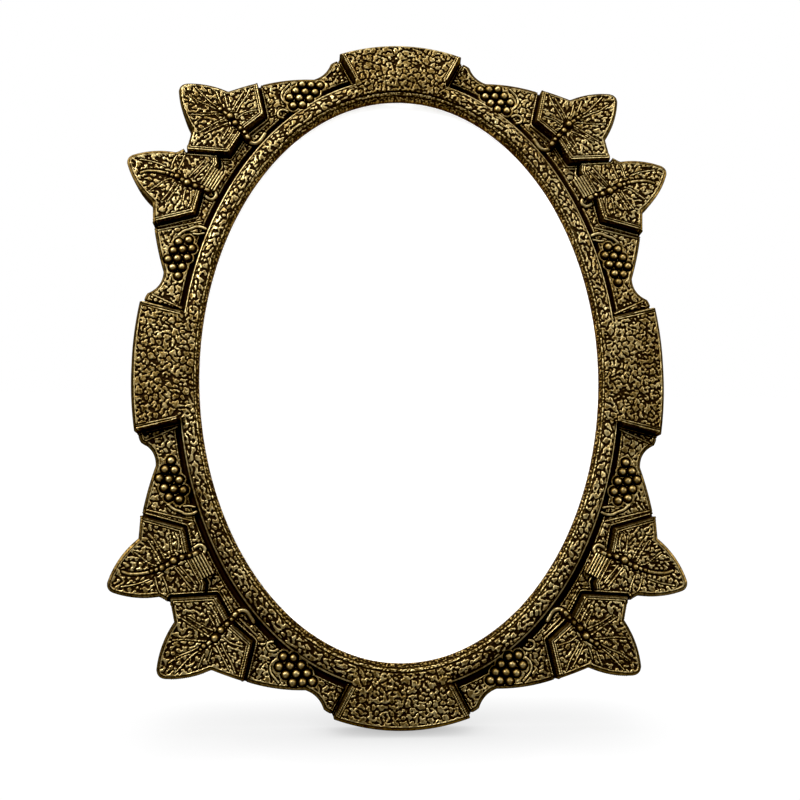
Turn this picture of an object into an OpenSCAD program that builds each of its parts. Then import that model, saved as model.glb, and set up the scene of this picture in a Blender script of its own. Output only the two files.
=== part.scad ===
// Oval table-top picture frame: one cast front with vine leaves, grapes and four raised panels,
// a glazed rebate closed by a board and turn buttons, an easel leg and a wall ring.
// Every piece is drawn in the plane of the frame, with its back at zero and its face upward,
// and then leaned back on its foot. +Z is up and the face looks along -Y.

/* [Front casting] */
// Width over the tips of the side leaves
frame_w = 169; // [166:0.5:174]
// Height over the top and bottom panels
frame_h = 210; // [206:0.5:216]
// Width of the border from the line of the side leaves' tips in to the sight opening
side_border_w = 24; // [23:0.25:25.5]
// Height of the border from the panels' tops to the sight opening
end_border_h = 19; // [18:0.25:20.5]
// Width of the oval moulding at the sides
moulding_side_w = 6.6; // [6:0.1:7]
// Width of the oval moulding at the top and bottom
moulding_end_w = 7.8; // [7:0.1:8.4]
// Height of the fields above the back of the casting
field_h = 6.4; // [6.3:0.1:7]
// Height of the crown of the oval moulding
moulding_h = 9.2; // [8.8:0.1:9.4]
// Height of the four raised panels
panel_h = 9.6; // [9.5:0.1:10.5]
// Height of the upper vine leaves
upper_leaf_h = 9; // [8.7:0.1:9.4]
// Height of the side vine leaves
side_leaf_h = 8.2; // [7.8:0.1:8.5]
// Bevel round the outer rim of the casting
rim_bevel = 1.1; // [0.8:0.05:1.3]
// Bevel round the leaves
leaf_bevel = 0.6; // [0.4:0.05:0.8]
// Width of the slope from the crown of the moulding down to the sight edge
sight_slope_w = 2; // [1.5:0.1:2.4]
// Height of the sight edge above the back
sight_edge_h = 7; // [6.6:0.1:7.4]
// Depth of the grooves round the leaves and the moulding below the fields
groove_d = 1.2; // [0.8:0.1:1.4]
// Width of the groove outside the moulding
moulding_groove_w = 0.9; // [0.7:0.1:1.1]
// Width of the grooves along the inner edges of the leaves
leaf_groove_w = 1.2; // [0.9:0.1:1.5]
// Width of the grooves at the ends of the panels
panel_groove_w = 1.5; // [1.2:0.1:1.8]
// How far the edges of the leaves and panels stand out over the edge of the plate
relief_step = 0.05; // [0.03:0.01:0.1]
// Diameter of a grape
grape_d = 2.6; // [2.2:0.1:2.75]
// Diameter of the largest bead on a leaf's midrib
bead_d = 2.6; // [2:0.1:2.8]
// Radius of a vein at the midrib
vein_r = 0.5; // [0.35:0.05:0.6]
// How far the veins' middle lines lie under the face of the leaf
vein_sink = 0.15; // [0.05:0.05:0.2]
// Radius of a tendril or a leaf's stem
tendril_r = 0.6; // [0.4:0.05:0.7]
// Distance between neighbouring grapes in a row
grape_pitch = 2.9; // [2.8:0.05:3.1]
// Distance between rows of grapes
grape_row_pitch = 2.45; // [2.4:0.05:2.8]
// Height of a grape's or a bead's centre above the face that it lies on
ball_rise = 0.2; // [0.1:0.05:0.4]
// Largest distance between a bowed edge and the straight pieces that it is drawn with
bow_tolerance = 0.12; // [0.12:0.02:0.2]

/* [Glazing and back] */
// How far the glass reaches behind the edge of the sight opening
glass_lap = 3; // [2:0.1:3.5]
// Thickness of the glass
glass_t = 2; // [1.8:0.1:2.2]
// Thickness of the picture card
card_t = 0.6; // [0.4:0.1:0.9]
// Thickness of the backing board
board_t = 3; // [2.8:0.1:3.3]
// Gap round the glass, the card and the board in their rebate
rebate_gap = 0.5; // [0.4:0.05:0.6]
// How far the board lies below the back of the casting
board_sink = 0.1; // [0.05:0.05:0.2]

/* [Turn buttons] */
// Number of turn buttons
button_count = 6; // [6:2:6]
// Length of a turn button
button_l = 14; // [12:0.5:15]
// Width of a turn button
button_w = 6; // [5.5:0.1:7]
// Thickness of a turn button
button_t = 1; // [0.8:0.1:1.2]
// Distance from the edge of the rebate out to a button's screw
button_setback = 4.4; // [4:0.1:4.8]
// Radius of a button screw's shank
screw_r = 1.4; // [1.2:0.05:1.5]
// Radius of a button screw's head
screw_head_r = 2.7; // [2.5:0.1:2.9]
// Height of a button screw's head
screw_head_h = 1.4; // [1.2:0.1:1.6]
// Depth of a button screw in the casting
screw_depth = 4; // [3.5:0.1:4.4]

/* [Easel leg] */
// Lean of the frame from upright
lean_deg = 12; // [9:0.5:15]
// Lean of the easel leg from upright when it is open
leg_lean_deg = 10; // [8:0.5:12]
// Gap from the hinge plate up to the strap of the wall ring
plate_strap_gap = 2.5; // [1:0.5:8]
// Thickness of the easel leg
leg_t = 3; // [2.6:0.1:3.4]
// Width of the leg at the hinge
leg_top_w = 28; // [26:0.5:32]
// Width of the leg at its foot
leg_foot_w = 42; // [36:0.5:46]
// Width of the arch cut in the leg's foot
leg_arch_w = 16; // [12:0.5:20]
// Height of the arch cut in the leg's foot
leg_arch_h = 5; // [3:0.5:6]
// Thickness of the hinge plates
plate_t = 0.8; // [0.6:0.05:1]
// Width of the hinge plates
plate_w = 24; // [22:0.5:26]
// Length of the hinge plates beyond the pin
plate_l = 22; // [20:0.5:23]
// Radius of the hinge pin
pin_r = 1; // [0.8:0.05:1.1]
// Width of the leg's knuckle
leg_knuckle_w = 9.4; // [8:0.1:10]
// Height of the stop tongue above the pin
tongue_l = 7; // [5:0.5:8]
// Radius of a rivet's shank
rivet_r = 1.2; // [1:0.05:1.3]
// Radius of a rivet's head
rivet_head_r = 2.2; // [1.9:0.05:2.3]
// Height of a rivet's head
rivet_head_h = 0.8; // [0.6:0.05:1]

/* [Wall ring] */
// Distance of the wall ring's pivot below the top of the glass
ring_drop = 9; // [7:0.5:10]
// Radius of the ring's wire
wire_r = 0.8; // [0.7:0.05:0.9]
// Inside width of the ring
ring_inner_w = 8.6; // [8:0.1:10]
// Length of the ring's straight sides
ring_side_l = 3; // [2.5:0.1:4]
// Width of the strap
strap_w = 6.6; // [6:0.1:7]
// Length of the strap below the ring's pivot
strap_l = 15.5; // [15:0.5:16]

/* [Fits] */
// Gap between pieces that move past each other
move_gap = 0.3; // [0.25:0.05:0.4]
// Gap under a button screw's head
seat_gap = 0.2; // [0.15:0.05:0.25]
// Gap round a pin in its bore
pin_gap = 0.06; // [0.04:0.01:0.09]
// Gap round a screw or a rivet in its hole
shank_gap = 0.05; // [0.03:0.01:0.08]
// Depth of the level flat under the foot
foot_flat_d = 0.3; // [0.2:0.05:0.4]

/* [Hidden] */
$fn = 64;
// Overrun of every cut, so that no cut face lies on a face of the solid
cut = 0.5;
quarter = 90;
turn = 360;

// Half sizes that the outlines follow
half_w = frame_w / 2;
half_h = frame_h / 2;
sight_a = half_w - side_border_w;
sight_b = half_h - end_border_h;
moulding_a = sight_a + moulding_side_w;
moulding_b = sight_b + moulding_end_w;
// The rebate and what lies in it, from the front
glass_a = sight_a + glass_lap;
glass_b = sight_b + glass_lap;
rebate_a = glass_a + rebate_gap;
rebate_b = glass_b + rebate_gap;
glass_back = board_sink + board_t + card_t;
rebate_d = glass_back + glass_t;
groove_floor = field_h - groove_d;
// Raised forms start well inside the plate
relief_foot = field_h / 2;

// Outline of a quarter of the frame, from the middle of the top panel round to the middle of the
// side panel. Each row is x and y as shares of the half sizes, and how far the stretch to the next
// row bows outward as a share of its length.
outline_shares = [
    [0, 1, 0.043],            // middle of the top panel
    [0.228, 0.969, 0],        // its shoulder
    [0.237, 0.957, 0.05],     // groove beside the panel
    [0.264, 0.945, -0.12],    // scooped neck
    [0.325, 0.894, 0.042],    // upper field
    [0.537, 0.868, 0.01],     // shoulder of the upper leaf
    [0.641, 0.838, 0.06],     // its upper notch
    [0.793, 0.861, 0.2],      // its tip
    [0.824, 0.836, 0.065],    // its side
    [0.770, 0.710, 0],        // its lower notch
    [0.783, 0.665, -0.05],    // shoulder of the side leaf
    [0.824, 0.643, 0.065],    // its upper notch
    [0.980, 0.632, 0.18],     // its tip
    [1, 0.606, 0.076],        // its lower side
    [0.902, 0.486, 0],        // its lower notch
    [0.898, 0.425, 0.02],     // side field
    [0.857, 0.282, -0.16],    // scooped neck
    [0.910, 0.218, 0.05],     // groove beside the side panel
    [0.921, 0.199, 0],
    [0.931, 0.187, 0.023],    // shoulder of the side panel
    [0.950, 0, 0]             // middle of the side panel
];
// Facets round the casting's veins, its curls and groove ends, its grapes and beads, and its ovals
vein_fn = 4;
curl_fn = 6;
ball_fn = 7;
oval_fn = 60;
// Rows of the outline where the raised forms begin and end
TOP_PANEL = [0, 1];
UPPER_LEAF = [5, 10];
SIDE_LEAF = [10, 15];
SIDE_PANEL = [19, 20];
// Inner edges of the raised forms, as shares of the half sizes
upper_leaf_shares = [[0.781, 0.648], [0.633, 0.641], [0.587, 0.705], [0.570, 0.722], [0.509, 0.765]];
side_leaf_shares = [[0.751, 0.457], [0.734, 0.518], [0.721, 0.539], [0.672, 0.608], [0.680, 0.650]];
top_panel_shares = [[0.168, 0.876], [0.150, 0.790]];
side_panel_shares = [[0.781, 0.156], [0.680, 0.138]];
// Grooves at the panel ends: from the outline to the moulding, as shares of the half sizes
top_groove_shares = [[0.246, 0.975], [0.178, 0.868]];
side_groove_shares = [[0.940, 0.205], [0.779, 0.163]];
// Beads along each leaf's midrib: place as shares of the half sizes, and size as a share of the
// largest bead
upper_bead_shares = [[0.667, 0.770, 0.6], [0.630, 0.750, 1], [0.607, 0.727, 0.9], [0.588, 0.710, 0.6]];
side_bead_shares = [[0.817, 0.564, 0.85], [0.778, 0.546, 1], [0.748, 0.535, 0.7]];
// Where each leaf's veins end; they meet under its largest bead
upper_vein_shares = [
    [0.795, 0.838], [0.728, 0.838], [0.668, 0.822], [0.610, 0.828], [0.556, 0.840],
    [0.556, 0.780], [0.650, 0.680], [0.735, 0.680], [0.765, 0.760]
];
side_vein_shares = [
    [0.965, 0.606], [0.900, 0.616], [0.830, 0.620], [0.765, 0.620], [0.705, 0.600],
    [0.772, 0.472], [0.862, 0.448], [0.868, 0.500], [0.918, 0.550]
];
// Stems and tendrils: middle of the curl as shares of the half sizes, its radius in shares of the
// distance between grapes, and the angles where it starts and ends
curl_shares = [
    [0.552, 0.700, 0.75, 190, 345],
    [0.694, 0.509, 0.75, 215, 385],
    [0.430, 0.768, 1.3, 10, 120],
    [0.768, 0.386, 1.2, 40, 150]
];
// Section of the moulding from its outer edge inward: place as a share of its width, and height
// as a share of its rise above the field
moulding_shares = [
    [0, 0], [0.015, 0.45], [0.06, 0.55], [0.1, 0.42], [0.2, 0.72], [0.34, 0.9],
    [0.48, 0.96], [0.58, 0.9], [0.61, 1], [0.67, 1]
];
// Grape clusters: first grape as shares of the half sizes, then each row's count and its start
// as a share of the distance between grapes
top_cluster_share = [0.303, 0.871];
top_rows_share = [[3, 0], [3, 0.5], [3, 1.1], [2, 1.9]];
side_cluster_share = [0.756, 0.352];
side_rows_share = [[2, 0.4], [3, 0], [3, 0.5], [2, 1], [1, 1.5]];

// Heights above the middle of the frame: the wall ring's pivot near the top of the board, and the
// easel hinge, whose plate ends below the ring's strap
ring_rise = glass_b - ring_drop;
hinge_rise = ring_rise - strap_l - plate_strap_gap - plate_l;

// Easel hinge, seen in the plane of the frame: the pin lies behind the back
knuckle_r = (leg_t + plate_t) / 2;
pin_depth = knuckle_r + move_gap;
plate_back = board_sink - plate_t;
leg_inner = -knuckle_r;
leg_outer = leg_inner + leg_t;
open_deg = lean_deg + leg_lean_deg;
tongue_front = plate_back - move_gap;
outer_knuckle_w = (plate_w - leg_knuckle_w) / 2 - move_gap;
rivet_across = plate_w / 4 + rivet_r;
rivet_rows_share = [0.36, 0.8];
pin_head_r = pin_r + plate_t / 2;
pin_head_t = plate_t;

// Turn buttons and their screws, below the back
button_back = move_gap + button_t;
button_nose = button_l - button_w / 2;
// The four slanting buttons stand this much nearer the sides
button_tilt_deg = 10;
button_tilts = [0, -1, 1, 0, -1, 1] * button_tilt_deg;
button_turns = [for (i = [0 : button_count - 1]) i * turn / button_count + button_tilts[i]];

// Wall ring
strap_bore_r = wire_r + pin_gap;
strap_knuckle_r = strap_bore_r + plate_t * 3 / 4;
ring_depth = strap_knuckle_r - board_sink + pin_gap;
ring_bend_r = ring_inner_w / 2 + wire_r;

// Where the leaned frame stands: z = 0 under the foot, y = 0 in the middle of the depth
stand_z = half_h * cos(lean_deg) - foot_flat_d;
axis_y = hinge_rise * sin(lean_deg) + pin_depth * cos(lean_deg);
axis_z = hinge_rise * cos(lean_deg) - pin_depth * sin(lean_deg) + stand_z;
leg_l = (axis_z + leg_outer * sin(leg_lean_deg)) / cos(leg_lean_deg);
front_y = -(half_h - rim_bevel) * sin(lean_deg) - panel_h * cos(lean_deg);
rear_y = axis_y + leg_l * sin(leg_lean_deg) + leg_outer * cos(leg_lean_deg);
stand_y = -(front_y + rear_y) / 2;

// Points along a stretch that bows to the left of its direction; the last point is left out
function bow(p, q, share) =
    let (
        d = q - p,
        side = [-d[1], d[0]],
        n = max(1, ceil(sqrt(abs(share) * norm(d) / bow_tolerance)))
    )
    [for (i = [0 : n - 1]) let (t = i / n) p + d * t + side * (share * 4 * t * (1 - t))];

function scaled(share) = [share[0] * half_w, share[1] * half_h];
function scaled_all(shares) = [for (s = shares) scaled(s)];
function flat_list(lists) = [for (l = lists) for (p = l) p];

// The outline's points from row i to row j, both ends included
function outline_span(i, j) = concat(
    flat_list([for (k = [i : j - 1])
        bow(scaled(outline_shares[k]), scaled(outline_shares[k + 1]), outline_shares[k][2])]),
    [scaled(outline_shares[j])]);

function reversed(points) = [for (i = [len(points) - 1 : -1 : 0]) points[i]];
function mirror_x(points) = [for (p = points) [-p[0], p[1]]];
function mirror_y(points) = [for (p = points) [p[0], -p[1]]];
function without_last(points) = [for (i = [0 : len(points) - 2]) points[i]];
function without_first(points) = [for (i = [1 : len(points) - 1]) points[i]];

// The whole outline, clockwise from the middle of the top panel
function frame_outline() =
    let (
        q = outline_span(0, len(outline_shares) - 1),
        right = concat(q, reversed(mirror_y(without_last(q))))
    )
    concat(right, reversed(mirror_x(without_last(without_first(right)))));

// A clockwise outline moved inward by d, with its corners kept sharp
function inset(points, d) =
    let (n = len(points))
    [for (i = [0 : n - 1])
        let (
            a = points[(i + n - 1) % n],
            b = points[i],
            c = points[(i + 1) % n],
            u = (b - a) / norm(b - a),
            v = (c - b) / norm(c - b),
            nu = [u[1], -u[0]],
            nv = [v[1], -v[0]]
        )
        b + (nu + nv) * (d / (1 + nu * nv))];

function total(points, i = 0) = i == len(points) ? [0, 0] : points[i] + total(points, i + 1);

// A slab from a clockwise outline, with its upper edge bevelled. Its flat faces fan out from the
// middle of the outline.
module bevelled_slab(points, low, high, bevel) {
    n = len(points);
    middle = total(points) / n;
    polyhedron(
        points = concat(
            [for (p = points) [p[0], p[1], low]],
            [for (p = points) [p[0], p[1], high - bevel]],
            [for (p = inset(points, bevel)) [p[0], p[1], high]],
            [[middle[0], middle[1], low], [middle[0], middle[1], high]]
        ),
        faces = [for (i = [0 : n - 1])
            let (j = (i + 1) % n)
            each [
                [3 * n, j, i],
                [i, j, n + j, n + i],
                [n + i, n + j, 2 * n + j, 2 * n + i],
                [3 * n + 1, 2 * n + i, 2 * n + j]
            ]],
        convexity = 10
    );
}

module oval(a, b, low, high) {
    step = turn / oval_fn;
    translate([0, 0, low]) linear_extrude(height = high - low)
        polygon([for (t = [0 : step : turn - step]) [a * cos(t), b * sin(t)]]);
}

// The same form in each quarter of the frame
module in_quarters() {
    for (sx = [0, 1], sy = [0, 1]) mirror([sx, 0, 0]) mirror([0, sy, 0]) children();
}

// A round-ended groove along a line of points, down to the groove floor
module groove(points, width) {
    translate([0, 0, groove_floor]) linear_extrude(height = panel_h)
        for (i = [0 : len(points) - 2]) {
            d = points[i + 1] - points[i];
            for (end = [points[i], points[i + 1]]) translate(end) circle(d = width);
            translate(points[i]) rotate(atan2(d[1], d[0])) translate([0, -width / 2])
                square([norm(d), width]);
        }
}

function upper_leaf_inner() = scaled_all(upper_leaf_shares);
function side_leaf_inner() = scaled_all(side_leaf_shares);
function row_point(k) = scaled(outline_shares[k]);

// Casting: grooves along the inner edges of an upper leaf
module upper_leaf_groove() {
    groove(concat([row_point(UPPER_LEAF[1])], upper_leaf_inner(), [row_point(UPPER_LEAF[0])]),
        leaf_groove_w * 2);
}

module side_leaf_groove() {
    groove(concat([row_point(SIDE_LEAF[1])], side_leaf_inner()), leaf_groove_w * 2);
}

// Casting: the plate with its grooves
module plate() {
    difference() {
        bevelled_slab(frame_outline(), 0, field_h, rim_bevel);
        in_quarters() {
            groove(scaled_all(top_groove_shares), panel_groove_w);
            groove(scaled_all(side_groove_shares), panel_groove_w);
            upper_leaf_groove();
            side_leaf_groove();
        }
        difference() {
            oval(moulding_a + moulding_groove_w, moulding_b + moulding_groove_w, groove_floor, panel_h);
            oval(moulding_a - cut, moulding_b - cut, 0, panel_h + cut);
        }
    }
}

// Casting: tapered veins half sunk in a leaf's face, and the beads of its midrib
module veins(root_share, tip_shares, high) {
    root = scaled(root_share);
    for (tip = scaled_all(tip_shares)) {
        d = tip - root;
        translate([root[0], root[1], high - vein_sink])
            rotate([0, quarter, atan2(d[1], d[0])])
                cylinder(r1 = vein_r, r2 = vein_r / 2, h = norm(d), $fn = vein_fn);
    }
}

module beads(shares, high) {
    for (b = shares) translate([b[0] * half_w, b[1] * half_h, high + ball_rise])
        sphere(d = b[2] * bead_d, $fn = ball_fn);
}

module side_leaf() {
    points = concat(outline_span(SIDE_LEAF[0], SIDE_LEAF[1]), side_leaf_inner());
    bevelled_slab(inset(points, -relief_step), relief_foot, side_leaf_h, leaf_bevel);
    veins(side_bead_shares[1], side_vein_shares, side_leaf_h);
    beads(side_bead_shares, side_leaf_h);
}

module upper_leaf() {
    points = concat(outline_span(UPPER_LEAF[0], UPPER_LEAF[1]), upper_leaf_inner());
    bevelled_slab(inset(points, -relief_step), relief_foot, upper_leaf_h, leaf_bevel);
    veins(upper_bead_shares[1], upper_vein_shares, upper_leaf_h);
    beads(upper_bead_shares, upper_leaf_h);
}

// Casting: the four pairs of leaves, each side leaf running under its upper leaf
module leaves() {
    in_quarters() {
        difference() {
            side_leaf();
            upper_leaf_groove();
        }
        upper_leaf();
    }
}

// Casting: the raised panels
module panels() {
    right = concat(outline_span(TOP_PANEL[0], TOP_PANEL[1]), scaled_all(top_panel_shares));
    upper = concat(reversed(scaled_all(side_panel_shares)), outline_span(SIDE_PANEL[0], SIDE_PANEL[1]));
    for (s = [0, 1]) mirror([0, s, 0])
        bevelled_slab(
            inset(concat(right, reversed(mirror_x(without_first(right)))), -relief_step),
            relief_foot, panel_h, rim_bevel);
    for (s = [0, 1]) mirror([s, 0, 0])
        bevelled_slab(
            inset(concat(upper, reversed(mirror_y(without_last(upper)))), -relief_step),
            relief_foot, panel_h, rim_bevel);
}

// Casting: the oval moulding, whose section is turned and then drawn out to an oval
module moulding() {
    rise = moulding_h - field_h;
    scale([1, moulding_b / moulding_a, 1]) rotate_extrude() polygon(concat(
        [[0, relief_foot], [moulding_a, relief_foot]],
        [for (m = moulding_shares) [moulding_a - m[0] * moulding_side_w, field_h + m[1] * rise]],
        [[0, moulding_h]]));
}

// Everything inside the sight opening and over the slope that leads down to it
module sight_cut() {
    slope_a = sight_a + sight_slope_w;
    scale([1, sight_b / sight_a, 1]) rotate_extrude() polygon([
        [0, -cut], [sight_a, -cut], [sight_a, sight_edge_h],
        [slope_a, moulding_h - relief_step], [slope_a, panel_h + cut], [0, panel_h + cut]]);
}

module grape_cluster(place_share, rows_share) {
    place = scaled(place_share);
    translate([place[0], place[1], field_h + ball_rise])
        for (i = [0 : len(rows_share) - 1], j = [0 : rows_share[i][0] - 1])
            translate([(rows_share[i][1] + j) * grape_pitch, -i * grape_row_pitch, 0])
                sphere(d = grape_d, $fn = ball_fn);
}

module curl(row, high) {
    translate([row[0] * half_w, row[1] * half_h, high]) rotate(row[3])
        rotate_extrude(angle = row[4] - row[3]) translate([row[2] * grape_pitch, 0])
            circle(r = tendril_r);
}

module grapes_and_tendrils() {
    in_quarters() {
        grape_cluster(top_cluster_share, top_rows_share);
        grape_cluster(side_cluster_share, side_rows_share);
        for (row = curl_shares) curl(row, field_h);
    }
}

// Casting: the whole relief, drawn out to the overall width and height
module relief() {
    resize([frame_w, frame_h, 0]) difference() {
        union() {
            plate($fn = curl_fn);
            moulding($fn = oval_fn);
            panels();
            leaves($fn = curl_fn);
            grapes_and_tendrils($fn = curl_fn);
        }
        sight_cut($fn = oval_fn);
        oval(rebate_a, rebate_b, -cut, rebate_d);
    }
}

// Places of the turn buttons: each on the back of the casting, outside the edge of the rebate,
// with its outward direction
function button_place(i) =
    let (
        t = button_turns[i],
        edge = [rebate_a * cos(t), rebate_b * sin(t)],
        out = [rebate_b * cos(t), rebate_a * sin(t)],
        n = out / norm(out)
    )
    [edge + n * button_setback, atan2(n[1], n[0])];

module at_button(i) {
    translate([button_place(i)[0][0], button_place(i)[0][1], 0]) rotate(button_place(i)[1]) children();
}

// Leans what is drawn in the plane of the frame back on its foot
module stand() {
    translate([0, stand_y, stand_z]) rotate([quarter - lean_deg, 0, 0]) children();
}

// What is drawn along the closed leg: x across, y down the leg from the pin, z away from the frame
module open_leg() {
    stand() translate([0, hinge_rise, -pin_depth]) rotate([open_deg, 0, 0]) mirror([0, 1, 0])
        mirror([0, 0, 1]) children();
}

// Everything below the table top
module floor_cut() {
    translate([-half_w, -half_h, -panel_h]) cube([frame_w, frame_h * 2, panel_h]);
}

module front_casting() {
    color([0.62, 0.50, 0.25]) difference() {
        stand() difference() {
            relief();
            for (i = [0 : button_count - 1]) at_button(i)
                translate([0, 0, -cut]) cylinder(r = screw_r + shank_gap, h = screw_depth + shank_gap + cut);
        }
        floor_cut();
    }
}

module glass() {
    color([0.80, 0.90, 0.92, 0.35]) stand() oval(glass_a, glass_b, glass_back, rebate_d);
}

module picture_card() {
    color([0.97, 0.97, 0.96])
    stand() oval(glass_a, glass_b, board_sink + board_t, glass_back);
}

module rivet_holes(depth, low) {
    for (s = [-1, 1], row = rivet_rows_share)
        translate([s * rivet_across, row * plate_l, low]) cylinder(r = rivet_r + shank_gap, h = depth);
}

module rivet(low, high) {
    translate([0, 0, low]) cylinder(r = rivet_r, h = high - low);
}

// A rivet's head is a low dome below zero
module rivet_head(low) {
    dome_r = (rivet_head_r * rivet_head_r + rivet_head_h * rivet_head_h) / (2 * rivet_head_h);
    difference() {
        translate([0, 0, low - rivet_head_h + dome_r]) sphere(r = dome_r);
        translate([-dome_r * 2, -dome_r * 2, low]) cube(dome_r * 4);
    }
}

module at_board_rivets() {
    for (s = [-1, 1], row = rivet_rows_share)
        translate([s * rivet_across, hinge_rise + row * plate_l, 0]) children();
}

module backing_board() {
    color([0.10, 0.10, 0.11]) stand() difference() {
        oval(rebate_a - rebate_gap / 2, rebate_b - rebate_gap / 2, board_sink, board_sink + board_t);
        at_board_rivets() cylinder(r = rivet_r + shank_gap, h = board_t + board_sink + cut);
        at_strap_rivet() cylinder(r = rivet_r + shank_gap, h = board_t + board_sink + cut);
    }
}

module board_hinge_leaf() {
    color([0.55, 0.56, 0.58]) stand() difference() {
        union() {
            translate([-plate_w / 2, hinge_rise + pin_depth, plate_back])
                cube([plate_w, plate_l - pin_depth, plate_t]);
            for (s = [0, 1]) mirror([s, 0, 0])
                translate([leg_knuckle_w / 2 + move_gap, hinge_rise, 0]) {
                    translate([0, 0, plate_back]) cube([outer_knuckle_w, pin_depth + cut, plate_t]);
                    translate([0, 0, -pin_depth]) rotate([0, quarter, 0])
                        cylinder(r = knuckle_r, h = outer_knuckle_w);
                }
        }
        translate([-plate_w, hinge_rise, -pin_depth]) rotate([0, quarter, 0])
            cylinder(r = pin_r + pin_gap, h = plate_w * 2);
        at_board_rivets()
            translate([0, 0, plate_back - cut]) cylinder(r = rivet_r + shank_gap, h = plate_t + cut * 2);
    }
}

module board_rivets() {
    color([0.70, 0.70, 0.72]) stand() at_board_rivets() {
        rivet(plate_back - cut / 4, board_sink + board_t - move_gap);
        rivet_head(plate_back);
    }
}

module hinge_pin() {
    color([0.66, 0.67, 0.70]) stand() translate([0, hinge_rise, -pin_depth]) rotate([0, quarter, 0]) {
        translate([0, 0, -plate_w / 2 - pin_gap]) cylinder(r = pin_r, h = plate_w + pin_gap * 2);
        for (s = [0, 1]) mirror([0, 0, s])
            translate([0, 0, plate_w / 2 + pin_gap]) cylinder(r = pin_head_r, h = pin_head_t);
    }
}

module turn_button(i) {
    color([0.60, 0.61, 0.63]) stand() at_button(i) difference() {
        translate([0, 0, -button_back]) linear_extrude(height = button_t) {
            circle(d = button_w);
            translate([-button_nose + button_w / 2, 0]) circle(d = button_w);
            translate([-button_nose + button_w / 2, -button_w / 2])
                square([button_nose - button_w / 2, button_w]);
        }
        translate([0, 0, -button_back - cut])
            cylinder(r = screw_r + pin_gap, h = button_t + cut * 2);
    }
}

module turn_button_1() { turn_button(0); }
module turn_button_2() { turn_button(1); }
module turn_button_3() { turn_button(2); }
module turn_button_4() { turn_button(3); }
module turn_button_5() { turn_button(4); }
module turn_button_6() { turn_button(5); }

module button_screws() {
    head_low = -button_back - seat_gap;
    color([0.72, 0.66, 0.50]) stand() for (i = [0 : button_count - 1]) at_button(i) {
        translate([0, 0, head_low - cut / 2])
            cylinder(r = screw_r, h = screw_depth - head_low + cut / 2);
        difference() {
            translate([0, 0, head_low - screw_head_h])
                cylinder(r1 = screw_head_r * 2 / 3, r2 = screw_head_r, h = screw_head_h);
            translate([-screw_head_r, -screw_r / 4, head_low - screw_head_h - cut])
                cube([screw_head_r * 2, screw_r / 2, screw_head_h / 2 + cut]);
        }
    }
}

module at_strap_rivet() {
    translate([0, ring_rise - strap_l + rivet_head_r * 2, 0]) children();
}

module ring_strap() {
    color([0.60, 0.61, 0.63]) stand() difference() {
        union() {
            translate([-strap_w / 2, ring_rise - strap_l, plate_back]) cube([strap_w, strap_l, plate_t]);
            translate([-strap_w / 2, ring_rise, -ring_depth]) rotate([0, quarter, 0])
                cylinder(r = strap_knuckle_r, h = strap_w);
        }
        translate([-strap_w, ring_rise, -ring_depth]) rotate([0, quarter, 0])
            cylinder(r = strap_bore_r, h = strap_w * 2);
        at_strap_rivet()
            translate([0, 0, plate_back - cut]) cylinder(r = rivet_r + shank_gap, h = plate_t + cut * 2);
    }
}

module strap_rivet() {
    color([0.70, 0.70, 0.72]) stand() at_strap_rivet() {
        rivet(plate_back - cut / 4, board_sink + board_t - move_gap);
        rivet_head(plate_back);
    }
}

// The ring hangs plumb from its pivot: a straight bar, two sides and a half-round bend
module hanging_ring() {
    color([0.72, 0.73, 0.75])
    stand() translate([0, ring_rise, -ring_depth]) rotate([lean_deg, 0, 0]) {
        translate([-ring_bend_r, 0, 0]) rotate([0, quarter, 0]) cylinder(r = wire_r, h = ring_bend_r * 2);
        for (s = [-1, 1]) {
            translate([s * ring_bend_r, 0, 0]) sphere(r = wire_r);
            translate([s * ring_bend_r, 0, 0]) rotate([quarter, 0, 0]) cylinder(r = wire_r, h = ring_side_l);
        }
        translate([0, -ring_side_l, 0]) rotate([0, 0, -quarter * 2])
            rotate_extrude(angle = quarter * 2) translate([ring_bend_r, 0]) circle(r = wire_r);
    }
}

module leg_outline() {
    top = knuckle_r + move_gap;
    polygon([[-leg_top_w / 2, top], [leg_top_w / 2, top],
        [leg_foot_w / 2, leg_l + cut], [-leg_foot_w / 2, leg_l + cut]]);
}

module strut_board() {
    color([0.10, 0.10, 0.11]) difference() {
        open_leg() difference() {
            translate([0, 0, leg_inner]) linear_extrude(height = leg_t) leg_outline();
            rivet_holes(leg_t + cut * 2, leg_inner - cut);
            translate([0, leg_l, leg_inner - cut]) scale([1, leg_arch_h * 2 / leg_arch_w, 1])
                cylinder(d = leg_arch_w, h = leg_t + cut * 2);
        }
        floor_cut();
    }
}

module strut_hinge_leaf() {
    color([0.55, 0.56, 0.58]) {
        open_leg() difference() {
            union() {
                translate([-plate_w / 2, pin_depth, leg_outer]) cube([plate_w, plate_l - pin_depth, plate_t]);
                translate([-leg_knuckle_w / 2, 0, leg_outer]) cube([leg_knuckle_w, pin_depth + cut, plate_t]);
                translate([-leg_knuckle_w / 2, 0, 0]) rotate([0, quarter, 0])
                    cylinder(r = knuckle_r, h = leg_knuckle_w);
            }
            translate([-plate_w, 0, 0]) rotate([0, quarter, 0])
                cylinder(r = pin_r + pin_gap, h = plate_w * 2);
            rivet_holes(plate_t + cut * 2, leg_outer - cut);
        }
        stand() translate([0, hinge_rise, -pin_depth]) difference() {
            translate([-leg_knuckle_w / 2 + move_gap, 0, tongue_front + pin_depth - plate_t])
                cube([leg_knuckle_w - move_gap * 2, tongue_l, plate_t]);
            translate([-plate_w, 0, 0]) rotate([0, quarter, 0])
                cylinder(r = pin_r + pin_gap, h = plate_w * 2);
        }
    }
}

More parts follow.
